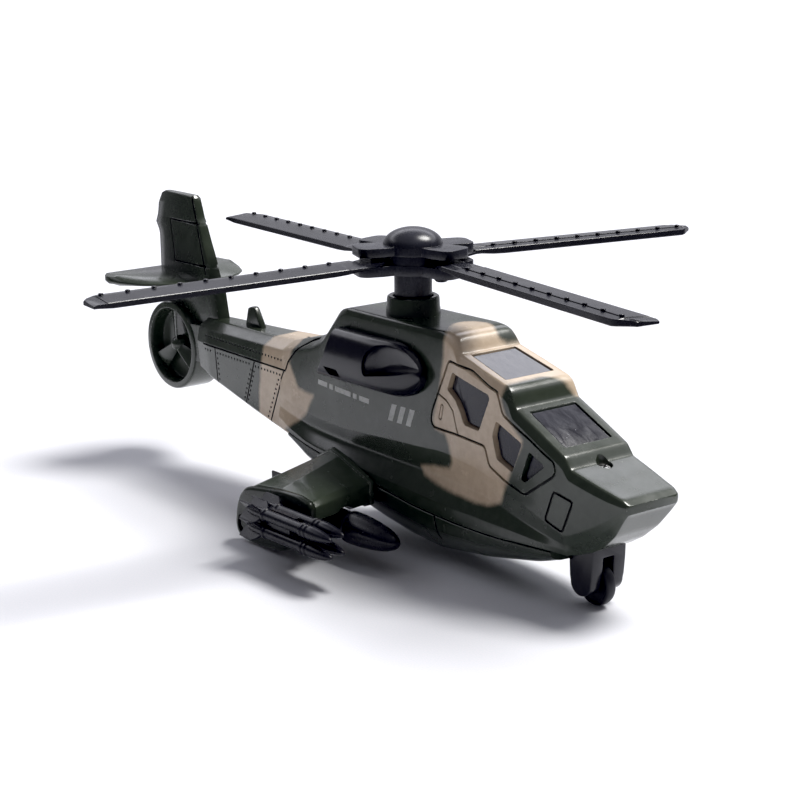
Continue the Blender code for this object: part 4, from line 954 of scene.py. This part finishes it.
xs = steps(-27.0, 5.0, 1.6) + [5.0 + 12.7 * math.sin(math.pi / 2 * k / 16) for k in range(1, 17)]
housing = closed_object("engine_housing_right", loft([housing_ring(x) for x in xs]), [BLACK, GROOVE_PAINTED_SHADE])
cuts = prism([(-16.6, -17.0), (-16.7, -22.5), (-18.2, -27.0), (-20.6, -30.0), (-24.2, -33.6), (-30.0, -37.0), (-30.0, -17.0)], "y", -20.0, -8.0)
for face in cuts.faces:
    face.material_index = 0
boolean(housing, cuts)
MOUTH = [(-2.2, -29.6), (-2.5, -26.5), (-1.6, -23.6), (0.8, -21.3), (4.6, -19.9), (10.0, -19.5), (15.0, -20.6), (19.6, -23.0), (20.4, -25.0), (9.0, -27.6)]
MOUTH = soft_corners(MOUTH, 1.8, 4)
rings = [[(x, -18.0, z) for x, z in MOUTH]]
for k in range(0, 11):
    a = math.radians(8.6 * k)
    t = math.cos(a) ** 0.62
    rings.append([(6.5 + (x - 6.5) * t, -(14.3 - 2.9 * math.sin(a)), -24.9 + (z + 24.9) * t) for x, z in MOUTH])
boolean(housing, loft(rings))
cuts = prism(soft_corners([(-18.8, -29.9), (-13.2, -29.9), (-12.4, -32.0), (-17.4, -32.0)], 0.3, 2), "y", -16.0, -12.2, index=1)
boolean(housing, cuts)
shade(housing, 34)
housing_left = mirror_copy(housing, "engine_housing_left")
finish_piece(housing, "airframe", "black_plastic", "nacelle_right")
finish_piece(housing_left, "airframe", "black_plastic", "nacelle_left")


# ---------------------------------------------------------------- stub wings with end plates
def wing_section(y, t, grow=0.0):
    root = [(-22.0, -54.6), (-16.6, -51.6), (-13.4, -52.4), (-3.0, -56.0), (-0.6, -57.1), (-0.6, -62.2), (-3.0, -63.2), (-20.0, -60.4)]
    tip = [(-25.0, -60.4), (-19.6, -58.0), (-8.0, -56.4), (3.2, -57.4), (4.6, -58.6), (4.6, -61.6), (2.0, -62.6), (-22.0, -61.6)]
    ring = [(a[0] + (b[0] - a[0]) * t, a[1] + (b[1] - a[1]) * t) for a, b in zip(root, tip)]
    if grow:
        ring = shrunk(ring, -grow)
    return [(x, -y, z) for x, z in ring]


wing = closed_object("stub_wing_skin_right", loft([wing_section(y, (y - 13.0) / 24.0) for y in (13.0, 21.0, 29.0, 35.4)]), [WING_PAINT_PAINTED_LIGHT, GROOVE_PAINTED_SHADE])
bevelled(wing, 0.26, 3, 14)
cuff = closed_object("wing_cuff", loft([wing_section(12.8, 0.0, 0.55), wing_section(14.3, 0.03, 0.5)]), [WING_PAINT_PAINTED_LIGHT])
bevelled(cuff, 0.3, 2, 18)
merge = bmesh.new()
merge.from_mesh(cuff.data)
bpy.data.objects.remove(cuff, do_unlink=True)
boolean(wing, merge, "UNION")
boolean(wing, rod((-40.0, TANK_Y, TANK_Z), (12.0, TANK_Y, TANK_Z), 4.5, sides=48))
boolean(wing, prism([(-14.4, -66.0), (-2.6, -66.0), (-3.2, -59.0), (-13.6, -59.0)], "y", TANK_Y - 1.2, TANK_Y + 1.2, index=1))
shade(wing, 34)

PLATE = [(-19.8, -57.9), (-7.0, -56.1), (0.0, -55.8), (4.2, -56.6), (5.3, -58.0), (5.2, -63.5), (0.0, -69.0), (-8.0, -72.2),
         (-17.0, -72.9), (-24.4, -72.9), (-26.8, -71.6), (-27.6, -69.0), (-27.0, -64.6), (-25.2, -60.8), (-23.0, -58.8)]
plate = closed_object("wing_end_plate_right", prism(soft_corners(PLATE, 1.6, 3), "y", -PLATE_Y1, -PLATE_Y0), [PLATE_PAINT_PAINTED_SHADE, GROOVE_PAINTED_SHADE])
bevelled(plate, 1.0, 4, 40)
hook = [(-25.6, -66.6), (-24.2, -66.2), (-23.9, -67.4), (-24.7, -67.8), (-24.7, -69.2), (-23.7, -69.8), (-23.4, -70.9), (-24.9, -71.1), (-25.9, -70.2), (-26.1, -68.2)]
boolean(plate, prism(soft_corners(hook, 0.5, 2), "y", -40.0, -PLATE_Y1 + 1.0, index=1))
boolean(plate, rod((REAR_WHEEL_X, -34.3, AXLE_Z), (REAR_WHEEL_X, -30.0, AXLE_Z), WHEEL_R + 0.8, sides=48))
boolean(plate, rod((REAR_WHEEL_X, -35.9, AXLE_Z), (REAR_WHEEL_X, -30.0, AXLE_Z), 1.05, sides=24))
shade(plate, 34)
lug = closed_object("wheel_lug_right", prism(soft_corners([(-21.0, -59.8), (-14.0, -59.8), (-15.0, -69.6), (-17.5, -70.9), (-20.0, -69.6)], 1.0, 3), "y", -29.2, -27.8), [PLAIN_PAINT])
bevelled(lug, 0.25, 2, 40)
boolean(lug, rod((REAR_WHEEL_X, -31.0, AXLE_Z), (REAR_WHEEL_X, -26.0, AXLE_Z), 1.05, sides=24))
shade(lug, 34)
wing_left = mirror_copy(wing, "stub_wing_skin_left")
plate_left = mirror_copy(plate, "wing_end_plate_left")
lug_left = mirror_copy(lug, "wheel_lug_left")
for obj, node in ((wing, "stub_wing_right"), (wing_left, "stub_wing_left"), (plate, None), (plate_left, None), (lug, None), (lug_left, None)):
    finish_piece(obj, "airframe", "olive_paint", *([node] if node else []))

# ---------------------------------------------------------------- wheels and nose fork
for side, tag in ((-1, "right"), (1, "left")):
    tyre = closed_object(f"rear_tyre_{tag}", turned(
        [(1.05, 1.9), (1.25, 2.0), (2.4, 2.0), (2.7, 1.85), (2.9, 1.5), (4.3, 1.45), (4.5, 1.6), (5.0, 1.45), (5.3, 1.1), (5.4, 0.7), (5.4, -0.7), (5.3, -1.1),
         (5.0, -1.45), (4.5, -1.6), (4.3, -1.45), (2.9, -1.5), (2.7, -1.85), (2.4, -2.0), (1.25, -2.0), (1.05, -1.9), (1.05, 1.9)],
        (REAR_WHEEL_X, side * REAR_WHEEL_Y, AXLE_Z), (0, -1, 0), 64), [RUBBER])
    finish_piece(shade(tyre, 28), f"rear_wheel_{tag}_body", "black_plastic", f"rear_wheel_{tag}")
tyre = closed_object("nose_tyre", turned(
    [(1.05, 1.3), (1.2, 1.4), (2.2, 1.4), (2.4, 1.2), (4.2, 1.2), (4.4, 1.4), (4.9, 1.3), (5.2, 1.05), (5.38, 0.6), (5.4, 0.0), (5.38, -0.6), (5.2, -1.05), (4.9, -1.3),
     (4.4, -1.4), (4.2, -1.2), (2.4, -1.2), (2.2, -1.4), (1.2, -1.4), (1.05, -1.3), (1.05, 1.3)], (NOSE_WHEEL_X, 0, AXLE_Z), (0, -1, 0), 64), [RUBBER])
finish_piece(shade(tyre, 28), "nose_wheel_body", "black_plastic", "nose_wheel")

fork_side = [(63.4, -61.8), (63.6, -66.0)]
for i in range(17):
    a = math.pi + math.pi * i / 16
    fork_side.append((67.2 + 3.3 * math.cos(a), -67.2 + 3.3 * math.sin(a)))
fork_side += [(70.8, -66.0), (71.2, -61.8), (71.4, -56.2), (64.3, -56.2), (64.3, -61.8)]
fork = closed_object("nose_gear_fork", prism(fork_side, "y", -FORK_HALF, FORK_HALF), [BLACK, GROOVE_PAINTED_SHADE])
boolean(fork, prism([(58.0, -80.0), (76.0, -80.0), (76.0, -61.0), (58.0, -61.0)], "y", -FORK_SLOT_HALF, FORK_SLOT_HALF, index=0))
bevelled(fork, 0.45, 3, 35)
boolean(fork, rod((67.2, -4.2, AXLE_Z), (67.2, 4.2, AXLE_Z), 1.05, sides=24))
finish_piece(shade(fork, 34), "airframe", "black_plastic", "nose_fork")


# ---------------------------------------------------------------- rockets and large missiles
def fin_plate(x0, x1, y, z, reach, thick, turn, root=0.6):
    a = math.radians(turn)
    shape = [(x0, -root), (x0 - 1.2, -reach * 0.72), (x0 - 2.6, -reach), (x1, -reach), (x1, reach), (x0 - 2.6, reach), (x0 - 1.2, reach * 0.72), (x0, root)]
    up, across = (math.cos(a), math.sin(a)), (-math.sin(a), math.cos(a))
    rings = []
    for s in (-1, 1):
        rings.append([(px, y + up[0] * pr + across[0] * s * thick / 2 * (0.55 if abs(pr) > 1.5 else 1.0),
                       z + up[1] * pr + across[1] * s * thick / 2 * (0.55 if abs(pr) > 1.5 else 1.0)) for px, pr in shape])
    return loft(rings)


ROCKET = [(0, 22.6), (0.3, 22.4), (0.7, 21.6), (1.1, 20.2), (1.45, 18.2), (1.68, 16.0), (1.76, 14.6), (1.74, 14.2), (1.5, 14.0), (1.5, 13.6), (1.8, 13.4), (1.8, 12.7),
          (1.52, 12.5), (1.52, 12.1), (1.8, 11.9), (1.8, 11.2), (1.45, 10.9), (1.45, -3.4), (1.75, -3.7), (1.75, -4.4), (1.5, -4.7), (1.35, -8.6), (0.9, -10.9), (0, -11.0)]
rockets = bmesh.new()
for yy, back in zip((40.0, 44.5), (0.4, 1.6)):
    for zz in (-59.7, -64.0):
        turned([(r, d + back) for r, d in ROCKET], (0, -yy, zz), (1, 0, 0), 24, rockets)
cluster = closed_object("rocket_pod_right", rockets, [STORES, GROOVE_PAINTED_SHADE])
boolean(cluster, prism([(-5.0, -61.0), (7.0, -61.0), (7.0, -62.7), (-5.0, -62.7)], "y", -44.4, -PLATE_Y1 - GAP), "UNION")
boolean(cluster, prism([(-5.0, -58.7), (7.0, -58.7), (7.0, -65.0), (-5.0, -65.0)], "y", -42.6, -41.3), "UNION")
for yy, back, turn, reach in zip((40.0, 44.5), (0.4, 1.6), (46, 43), (3.3, 3.4)):
    for zz in (-59.7, -64.0):
        for spin in (turn, turn + 90):
            boolean(cluster, fin_plate(-4.4 + back, -12.2 + back, -yy, zz, reach, 0.8, spin), "UNION")
shade(cluster, 34)
cluster_left = mirror_copy(cluster, "rocket_pod_left")
finish_piece(cluster, "airframe", "black_plastic", "rocket_cluster_right")
finish_piece(cluster_left, "airframe", "black_plastic", "rocket_cluster_left")

missile = closed_object("underwing_missile_right", turned(
    [(0, 22.8), (0.6, 22.7), (1.3, 22.2), (1.9, 21.2), (2.6, 19.3), (3.2, 16.6), (3.65, 13.4), (3.95, 10.2), (4.1, 7.2), (4.1, 6.0), (3.82, 5.8), (3.82, 5.3), (4.1, 5.1), (4.05, 4.5),
     (3.6, 4.2), (3.6, -23.6), (3.5, -24.6), (3.2, -27.0), (2.6, -28.5), (2.4, -28.6), (0, -28.6)], (0, TANK_Y, TANK_Z), (1, 0, 0), 40), [STORES, GROOVE_PAINTED_SHADE])
for turn in (0, 90):
    boolean(missile, fin_plate(-21.6, -29.4, TANK_Y, TANK_Z, 7.0, 0.95, turn), "UNION")
boolean(missile, prism([(-14.0, -63.0), (-3.0, -63.0), (-3.6, -59.4), (-13.2, -59.4)], "y", TANK_Y - 0.9, TANK_Y + 0.9), "UNION")
shade(missile, 34)
missile_left = mirror_copy(missile, "underwing_missile_left")
finish_piece(missile, "airframe", "black_plastic", "large_missile_right")
finish_piece(missile_left, "airframe", "black_plastic", "large_missile_left")

# ---------------------------------------------------------------- tail fin and fan duct
FIN = {3.4: (-113.4, -98.4), 2.6: (-115.4, -97.6), -0.4: (-117.4, -96.6), -2.8: (-117.8, -95.9), -4.2: (-118.2, -95.0), -6.2: (-119.2, -94.2),
       -9.0: (-117.4, -93.1), -14.0: (-117.3, -90.9), -18.4: (-117.3, -89.5), -23.0: (-117.2, -87.0), -30.5: (-115.0, -85.4), -36.0: (-112.0, -92.0)}


def fin_section(z):
    rear, front = between(FIN, z)
    thick = 1.5 + 0.9 * min(1.0, (3.4 - z) / 26.0)
    if z > 2.9:
        thick -= 0.35 * (z - 2.9) / 0.5
    notch = 0.78 if min(abs(z + 4.3), abs(z + 16.0)) < 0.3 else 1.0
    half = [(rear, 0.45), (rear + 0.5, 0.9), (rear + 5.0, thick), (front - 6.0, thick), (front - 2.6, thick * 0.97 * notch), (front - 0.6, thick * 0.9 * notch), (front - 0.15, thick * 0.8 * notch), (front, thick * 0.6 * notch)]
    return [(x, y, z) for x, y in half] + [(x, -y, z) for x, y in reversed(half)]


zs = sorted([3.4, 3.2, 2.9] + [-z for z in steps(-2.6, 36.0, 1.1)] + [k + d for k in (-4.3, -16.0) for d in (-0.42, -0.28, 0.28, 0.42)], reverse=True)
fin = closed_object("tail_fin_and_duct", loft([fin_section(z) for z in zs]), [PLAIN_PAINT, GROOVE_PAINTED_SHADE])
fin_surface = Surface(fin)
for path, width in (([(-95.6, -4.3), (-109.4, -4.3), (-106.9, -16.2), (-91.6, -16.0)], 0.5), ([(-98.9, 3.9), (-91.2, -18.3)], 0.55)):
    cuts = bmesh.new()
    for side in (-1, 1):
        inside = [p for p in path]
        if path[0][1] > 3.4:
            inside[0] = (-98.4, 3.1)
        groove(cuts, fin_surface, inside, "y", side, width, 0.45, size=1.5)
    boolean(fin, cuts)
boolean(fin, turned([(0, 5.0), (12.1, 5.0), (12.6, 4.85), (12.85, 4.5), (12.9, 4.0), (12.9, -4.0), (12.85, -4.5), (12.6, -4.85), (12.1, -5.0), (0, -5.0)],
                    (DUCT_X, 0, DUCT_Z), (0, -1, 0), 96), "UNION")
boolean(fin, loft([[(x, -w, t), (x, w, t), (x, w, b), (x, -w, b)] for x, w, t, b in ((-98.0, 4.6, -33.0, -44.0), (-89.6, 4.4, -32.6, -43.2))]), "UNION")
cuts = bmesh.new()
for side in (-1, 1):
    turned([(0, 0.6), (9.6, 0.6), (10.3, 0.85), (10.6, 1.5), (10.6, 4.0), (10.75, 4.6), (11.2, 5.3), (11.2, 8.0), (0, 8.0)], (DUCT_X, 0, DUCT_Z), (0, side, 0), 80, cuts)
boolean(fin, cuts)
boolean(fin, rod((DUCT_X, -4.0, DUCT_Z), (DUCT_X, 4.0, DUCT_Z), 1.05, sides=24))
finish_piece(shade(fin, 34), "airframe", "olive_paint", "tail_unit")

TAILPLANE = {20.9: (-114.6, -113.4, -112.0), 20.2: (-116.6, -111.6, -108.0), 19.2: (-117.4, -110.2, -105.4), 16.9: (-117.6, -108.4, -100.8),
             13.4: (-117.6, -106.2, -97.4), 9.0: (-117.6, -104.0, -95.4), 3.0: (-117.6, -101.8, -94.5)}


def stabiliser_ring(y):
    rear, crest, front = TAILPLANE[abs(y)]
    tip = 0.4 if abs(y) > 20 else 0.0
    return [(rear, y, -19.3 - tip), (crest, y, -19.1 - tip), (front, y, -20.5), (front, y, -21.1), (crest, y, -22.1 + tip), (rear, y, -21.2)]


spans = sorted(TAILPLANE)
stabiliser = closed_object("tail_stabiliser", loft([stabiliser_ring(y) for y in [-v for v in reversed(spans)] + spans]), [PLAIN_PAINT])
finish_piece(shade(bevelled(stabiliser, 0.2, 2, 25), 40), "airframe", "olive_paint", "tailplane")

for side, tag in ((-1, "right"), (1, "left")):
    fan = closed_object(f"tail_rotor_{tag}", turned([(0, 1.2), (2.6, 1.2), (2.6, 1.7), (2.4, 2.4), (2.0, 3.2), (1.5, 3.9), (0.9, 4.2), (0, 4.3)],
                                                    (DUCT_X, 0, DUCT_Z), (0, side, 0), 40), [PLAIN_PAINT, GROOVE_PAINTED_SHADE])
    for k in range(3):
        a = math.radians(97 + 120 * k)
        u, n = (math.cos(a), math.sin(a)), (-math.sin(a), math.cos(a))
        rings = []
        for t in range(9):
            r = 1.2 + 8.7 * t / 8
            half, lift = 1.1 + 1.4 * t / 8, 0.55 + 0.35 * t / 8
            ring = []
            for s, w in ((-1, -0.12), (-0.6, -0.38), (0.4, -0.42), (1, -0.14), (1, 0.14), (0.4, 0.36), (-0.6, 0.36), (-1, 0.12)):
                ring.append((DUCT_X + u[0] * r + n[0] * half * s, side * 2.75 + s * lift + w, DUCT_Z + u[1] * r + n[1] * half * s))
            rings.append(ring)
        boolean(fan, loft(rings), "UNION")
    boolean(fan, rod((DUCT_X, side * 0.5, DUCT_Z), (DUCT_X, side * 3.2, DUCT_Z), 1.05, sides=24))
    finish_piece(shade(fan, 34), "tail_fans", "olive_paint", f"tail_fan_{tag}")


# ---------------------------------------------------------------- rotor
def polar(r, degrees):
    a = math.radians(degrees)
    return r * math.cos(a), r * math.sin(a)


def lobe(degrees, reach, width):
    a = math.radians(degrees)
    e, n = (math.cos(a), math.sin(a)), (-math.sin(a), math.cos(a))
    corner = 2.4
    raw = [(1.0, -width / 2 + 0.5), (6.6, -width / 2 + 0.5), (9.0, -width / 2), (reach - corner, -width / 2)]
    for i in range(1, 8):
        b = -math.pi / 2 + math.pi / 2 * i / 8
        raw.append((reach - corner + corner * math.cos(b), -width / 2 + corner + corner * math.sin(b)))
    raw.append((reach, -width / 2 + corner))
    raw += [(t, -s) for t, s in reversed(raw)]
    return [(e[0] * t + n[0] * s, e[1] * t + n[1] * s) for t, s in raw]


def armed(name, low, high, centre_r):
    obj = closed_object(name, rod((0, 0, low), (0, 0, high), centre_r, sides=64), [HUB_PAINTED_SHEEN, GROOVE_PAINTED_SHADE])
    for angle in LOBE_ANGLES:
        boolean(obj, prism(lobe(angle, LOBE_R, LOBE_W), "z", low, high), "UNION")
    return obj


hub = armed("mast_and_lower_hub", *LOWER, 7.5)
bevelled(hub, 0.32, 3, 40)
boolean(hub, turned([(0, -14.6), (4.4, -14.6), (MAST_R, -14.3), (MAST_R, -4.0), (0, -4.0)], (0, 0, 0), (0, 0, 1), 64), "UNION")
core = closed_object("hub_core", rod((0, 0, -3.0), (0, 0, 0.32), 7.2, sides=64), [HUB_PAINTED_SHEEN, GROOVE_PAINTED_SHADE])
for angle in LOBE_ANGLES:
    px, py = polar(LOBE_PIN_R, angle)
    boolean(core, rod((px, py, -4.0), (px, py, 4.0), 4.1, sides=40, index=0))
bevelled(core, 0.15, 2, 40)
merge = bmesh.new()
merge.from_mesh(core.data)
bpy.data.objects.remove(core, do_unlink=True)
boolean(hub, merge, "UNION")
boolean(hub, rod((0, 0, -18.4), (0, 0, -14.0), 2.6, sides=32), "UNION")
boolean(hub, turned([(0, -6.0), (1.3, -6.0), (1.75, -5.6), (1.9, -5.0), (1.9, -4.0), (0, -4.0)], (8.8, 1.9, 0), (0, 0, 1), 24), "UNION")
for angle in LOBE_ANGLES:
    px, py = polar(LOBE_PIN_R, angle)
    boolean(hub, rod((px, py, -2.2), (px, py, 0.05), 1.5, sides=32), "UNION")
boolean(hub, rod((0, 0, -20.0), (0, 0, -10.0), 1.55, sides=24))
finish_piece(shade(hub, 34), "rotor", "black_plastic", "rotor_mast")

cap = armed("hub_cap_and_dome", *UPPER, 7.5)
bevelled(cap, 0.32, 3, 40)
dome = [(0, UPPER[0] + 0.4), (DOME_R, UPPER[0] + 0.4)]
for t in range(0, 91, 6):
    dome.append((DOME_R * math.cos(math.radians(t)) if t < 90 else 0.0, UPPER[1] - 0.2 + (DOME_TOP - UPPER[1] + 0.2) * math.sin(math.radians(t))))
boolean(cap, turned(dome, (0, 0, 0), (0, 0, 1), 96), "UNION")
finish_piece(shade(cap, 34), "rotor", "black_plastic", "rotor_hub_cap")

STUD_R = [24.2 + 6.667 * i for i in range(10)]
for index, (lobe_angle, base) in enumerate(zip(LOBE_ANGLES, (0, 90, 180, 270))):
    theta = ROTOR_YAW + base
    a = math.radians(theta)
    e, n = (math.cos(a), math.sin(a)), (-math.sin(a), math.cos(a))
    px, py = polar(LOBE_PIN_R, lobe_angle)

    def at(r, s, z):
        return (e[0] * r + n[0] * s, e[1] * r + n[1] * s, z - BLADE_DROOP * max(0.0, r - 17.0))

    rings = []
    for r in [17.0, 19.0, 21.0, 22.0, 22.25, 22.6, 26.0] + steps(30.0, 84.0, 6.0) + [85.3, 85.55, 85.85, 86.1, 86.9, 87.7, 88.35, ROTOR_TIP_R - 0.12]:
        lead, trail = -BLADE_LEAD_W, BLADE_TRAIL_W
        if r > 84.6:
            lead = -BLADE_LEAD_W + 3.4 * (r - 84.6) / (ROTOR_TIP_R - 84.6)
        raised = 22.25 <= r <= 85.3
        dip = 0.0 if raised else 0.12
        if 85.5 < r < 85.9:
            dip = 0.32
        end = max(0.0, (r - 87.6) / 1.3) ** 2 * 0.5
        ridge = max(lead + 0.45, -0.18)
        base = -BLADE_T - 0.5 * max(0.0, min(1.0, (r - 19.0) / 5.0)) + 0.35 * max(0.0, min(1.0, (r - 84.0) / 4.0))
        ring = [(lead + 0.12, base), (lead, base + 0.15), (lead, -0.5), (lead + 0.14, -0.36)]
        slot = 0.30 if raised and r < 85.0 else 0.0
        ring += [(ridge - 0.12, -0.16), (ridge, -0.14 - slot), (ridge + 0.26, -0.14 - slot), (ridge + 0.34, -0.02)]
        ring += [(max(ridge + 0.6, 0.6), 0.0), (max(ridge + 1.2, trail * 0.5), -0.26), (trail - 0.18, -0.56), (trail, -0.72), (trail, base + 0.15), (trail - 0.12, base)]
        rings.append([at(r, s, (z - (dip if 4 <= i <= 10 else 0.0)) - (end if 2 <= i <= 11 else 0.0)) for i, (s, z) in enumerate(ring)])
    blade = closed_object(f"blade_{index + 1}_moulding", loft(rings), [BLADE, GROOVE_PAINTED_SHADE])
    root = []
    for s, r in ((0.06 - BLADE_LEAD_W, 17.4), (BLADE_TRAIL_W - 0.06, 17.4)):
        root.append((e[0] * r + n[0] * s, e[1] * r + n[1] * s))
    points = root + [(px + 3.7 * math.cos(2 * math.pi * i / 48), py + 3.7 * math.sin(2 * math.pi * i / 48)) for i in range(48)]
    points.sort()
    hull = []
    for sweep in (points, points[::-1]):
        chain = []
        for q in sweep:
            while len(chain) > 1 and (chain[-1][0] - chain[-2][0]) * (q[1] - chain[-2][1]) - (chain[-1][1] - chain[-2][1]) * (q[0] - chain[-2][0]) <= 0:
                chain.pop()
            chain.append(q)
        hull += chain[:-1]
    boolean(blade, prism(hull, "z", -BLADE_T + 0.04, -0.88), "UNION")
    boolean(blade, rod((px, py, -4), (px, py, 4), 1.8, sides=32))
    studs = bmesh.new()
    for r in STUD_R:
        sx, sy, sz = at(r, 0.12, 0.0)
        turned([(0, -0.5), (0.62, -0.5), (0.62, 0.28), (0.5, 0.44), (0.3, 0.5), (0, 0.5)], (sx, sy, sz - 0.02), (0, 0, 1), 16, studs)
    boolean(blade, studs, "UNION")
    finish_piece(shade(blade, 30), f"blade_{index + 1}", "black_plastic", f"rotor_blade_{index + 1}")

# ---------------------------------------------------------------- cross-head screws in the nose and the spine
def cross_screw(name, x, z, shank, tilt):
    """A pan-head screw; the head leans with the panel it sits in."""
    screw = closed_object(name, turned([(0, -shank), (0.85, -shank + 0.6), (0.85, -1.0), (1.72, -1.0), (1.76, -0.55), (1.55, -0.2), (1.1, -0.04), (0.5, 0.0), (0, 0.0)],
                                       (0, 0, 0), (0, 0, 1), 40), [STEEL, GROOVE_PAINTED_SHADE])
    for w, l in ((0.42, 2.3), (2.3, 0.42)):
        boolean(screw, prism([(-w / 2, -l / 2), (w / 2, -l / 2), (w / 2, l / 2), (-w / 2, l / 2)], "z", -0.5, 0.5, index=1))
    about = place(0, 0, 0)
    turn = Matrix.Rotation(math.radians(tilt), 4, "Y") @ Matrix.Rotation(math.radians(35), 4, "Z")
    screw.data.transform(Matrix.Translation(place(x, 0, z)) @ turn @ Matrix.Translation(-about))
    return shade(screw, 30)


finish_piece(cross_screw("nose_cross_screw", 69.1, -39.75, 7.0, 12.0), "airframe", "steel", "nose_screw")
finish_piece(cross_screw("spine_cross_screw", -37.5, -27.0, 4.6, -12.0), "airframe", "steel", "spine_screw")

# ---------------------------------------------------------------- CAD nodes kept, with better materials
for node in ("nose_axle", "rear_axle_left", "rear_axle_right", "tail_fan_pin", "mast_screw", "mast_washer"):
    obj = frame["nodes"][node]
    for slot in obj.material_slots:
        slot.material = STEEL
    if not obj.material_slots:
        obj.data.materials.append(STEEL)

# ---------------------------------------------------------------- floor
def pale_floor():
    n = Nodes("pale_floor")
    n.set("Base Color", n.mix(n.ramp(n.noise(2200.0, 3), 0.3, 0.7), (0.70, 0.72, 0.765), (0.745, 0.74, 0.785)))
    n.shader.inputs["Roughness"].default_value = 0.65
    n.shader.inputs["Specular IOR Level"].default_value = 0.25
    n.set("Normal", n.bump(n.noise(900, 3), 0.00002, 0.3))
    return n.mat


bm = bmesh.new()
rows = []
for r in (0.0, 0.08, 0.16, 0.28):
    rows.append([bm.verts.new((r * math.cos(2 * math.pi * i / 64), r * math.sin(2 * math.pi * i / 64), 0.0)) for i in range(64)] if r else [bm.verts.new((0, 0, 0))])
for first, second in zip(rows, rows[1:]):
    for i in range(64):
        j = (i + 1) % 64
        bm.faces.new((first[0], second[i], second[j]) if len(first) == 1 else (first[i], second[i], second[j], first[j]))
floor_mesh = bpy.data.meshes.new("floor")
bm.to_mesh(floor_mesh)
bm.free()
floor = bpy.data.objects.new("floor", floor_mesh)
bpy.context.scene.collection.objects.link(floor)
floor_mesh.materials.append(pale_floor())

# ---------------------------------------------------------------- light
def distant_light(name, direction, strength, spread, colour):
    light = bpy.data.lights.new(name, "SUN")
    light.energy = strength
    light.angle = math.radians(spread)
    light.color = colour
    obj = bpy.data.objects.new(name, light)
    bpy.context.scene.collection.objects.link(obj)
    obj.location = Vector(direction).normalized() * 1.5
    obj.rotation_mode = "QUATERNION"
    obj.rotation_quaternion = (-Vector(direction).normalized()).to_track_quat("-Z", "Y")
    return obj


distant_light("key", (0.2, 0.5, 1.0), 3.9, 24.0, (1.0, 0.985, 0.955))

world = bpy.data.worlds.new("studio")
bpy.context.scene.world = world
world.use_nodes = True
tree = world.node_tree
tree.nodes.clear()
output = tree.nodes.new("ShaderNodeOutputWorld")
background = tree.nodes.new("ShaderNodeBackground")
tree.links.new(background.outputs["Background"], output.inputs["Surface"])
direction = tree.nodes.new("ShaderNodeTexCoord").outputs["Generated"]


def world_math(op, a, b=0.0):
    node = tree.nodes.new("ShaderNodeMath")
    node.operation = op
    for socket, value in zip(node.inputs, (a, b)):
        if isinstance(value, bpy.types.NodeSocket):
            tree.links.new(value, socket)
        else:
            socket.default_value = value
    return node.outputs[0]


def world_ramp(value, low, high, to_low, to_high):
    node = tree.nodes.new("ShaderNodeMapRange")
    node.interpolation_type = "SMOOTHSTEP"
    tree.links.new(value, node.inputs["Value"])
    for name, v in (("From Min", low), ("From Max", high), ("To Min", to_low), ("To Max", to_high)):
        node.inputs[name].default_value = v
    return node.outputs["Result"]


split = tree.nodes.new("ShaderNodeSeparateXYZ")
tree.links.new(direction, split.inputs["Vector"])
# the far side of the room, behind the object in the main view, is bright; the near side is dimmer
far = world_math("ADD", world_math("MULTIPLY", split.outputs["X"], -0.782), world_math("MULTIPLY", split.outputs["Y"], 0.623))
wall = world_ramp(far, 0.30, 0.90, 0.07, 0.55)
high_up = split.outputs["Z"]
band = world_math("MULTIPLY", world_ramp(high_up, 0.45, 0.54, 0.0, 1.0), world_ramp(high_up, 0.60, 0.74, 1.0, 0.0))
band = world_math("MULTIPLY", band, world_ramp(far, -0.15, 0.35, 0.0, 2.2))
ceiling = world_ramp(high_up, 0.55, 0.92, 0.0, 1.0)
level = world_math("ADD", world_math("MULTIPLY", wall, world_math("SUBTRACT", 1.0, ceiling)), world_math("MULTIPLY", ceiling, 0.34))
level = world_math("ADD", level, band)
rays = tree.nodes.new("ShaderNodeLightPath").outputs["Is Camera Ray"]
level = world_math("ADD", world_math("MULTIPLY", level, world_math("SUBTRACT", 1.0, rays)), world_math("MULTIPLY", rays, 1.2))
background.inputs["Color"].default_value = (0.93, 0.93, 1.0, 1.0)
tree.links.new(level, background.inputs["Strength"])

# ---------------------------------------------------------------- camera
camera = bpy.data.cameras.new("camera")
camera.sensor_width = 36.0
camera.lens = 92.218
camera.clip_start, camera.clip_end = 0.02, 40.0
eye = bpy.data.objects.new("camera", camera)
bpy.context.scene.collection.objects.link(eye)
azimuth, elevation, roll = math.radians(51.48493), math.radians(14.27297), math.radians(-0.43937)
back = Vector((math.sin(azimuth) * math.cos(elevation), -math.cos(azimuth) * math.cos(elevation), math.sin(elevation)))
right = Vector((math.cos(azimuth), math.sin(azimuth), 0.0))
up = back.cross(right)
right, up = math.cos(roll) * right + math.sin(roll) * up, -math.sin(roll) * right + math.cos(roll) * up
eye.matrix_world = Matrix(((right.x, up.x, back.x, (391.626 + AXIS_X) * MM), (right.y, up.y, back.y, -316.167 * MM),
                           (right.z, up.z, back.z, (90.476 + BLADE_PLANE_Z) * MM), (0, 0, 0, 1)))
bpy.context.scene.camera = eye

scene = bpy.context.scene
scene.view_settings.view_transform = "Standard"
scene.view_settings.look = "None"
scene.view_settings.exposure = 0.0
scene.view_settings.use_curve_mapping = True
scene.view_settings.curve_mapping.black_level = (0.004, 0.004, 0.003)
scene.view_settings.curve_mapping.white_level = (0.93, 0.93, 0.93)
scene.view_settings.curve_mapping.update()

bpy.context.view_layer.update()
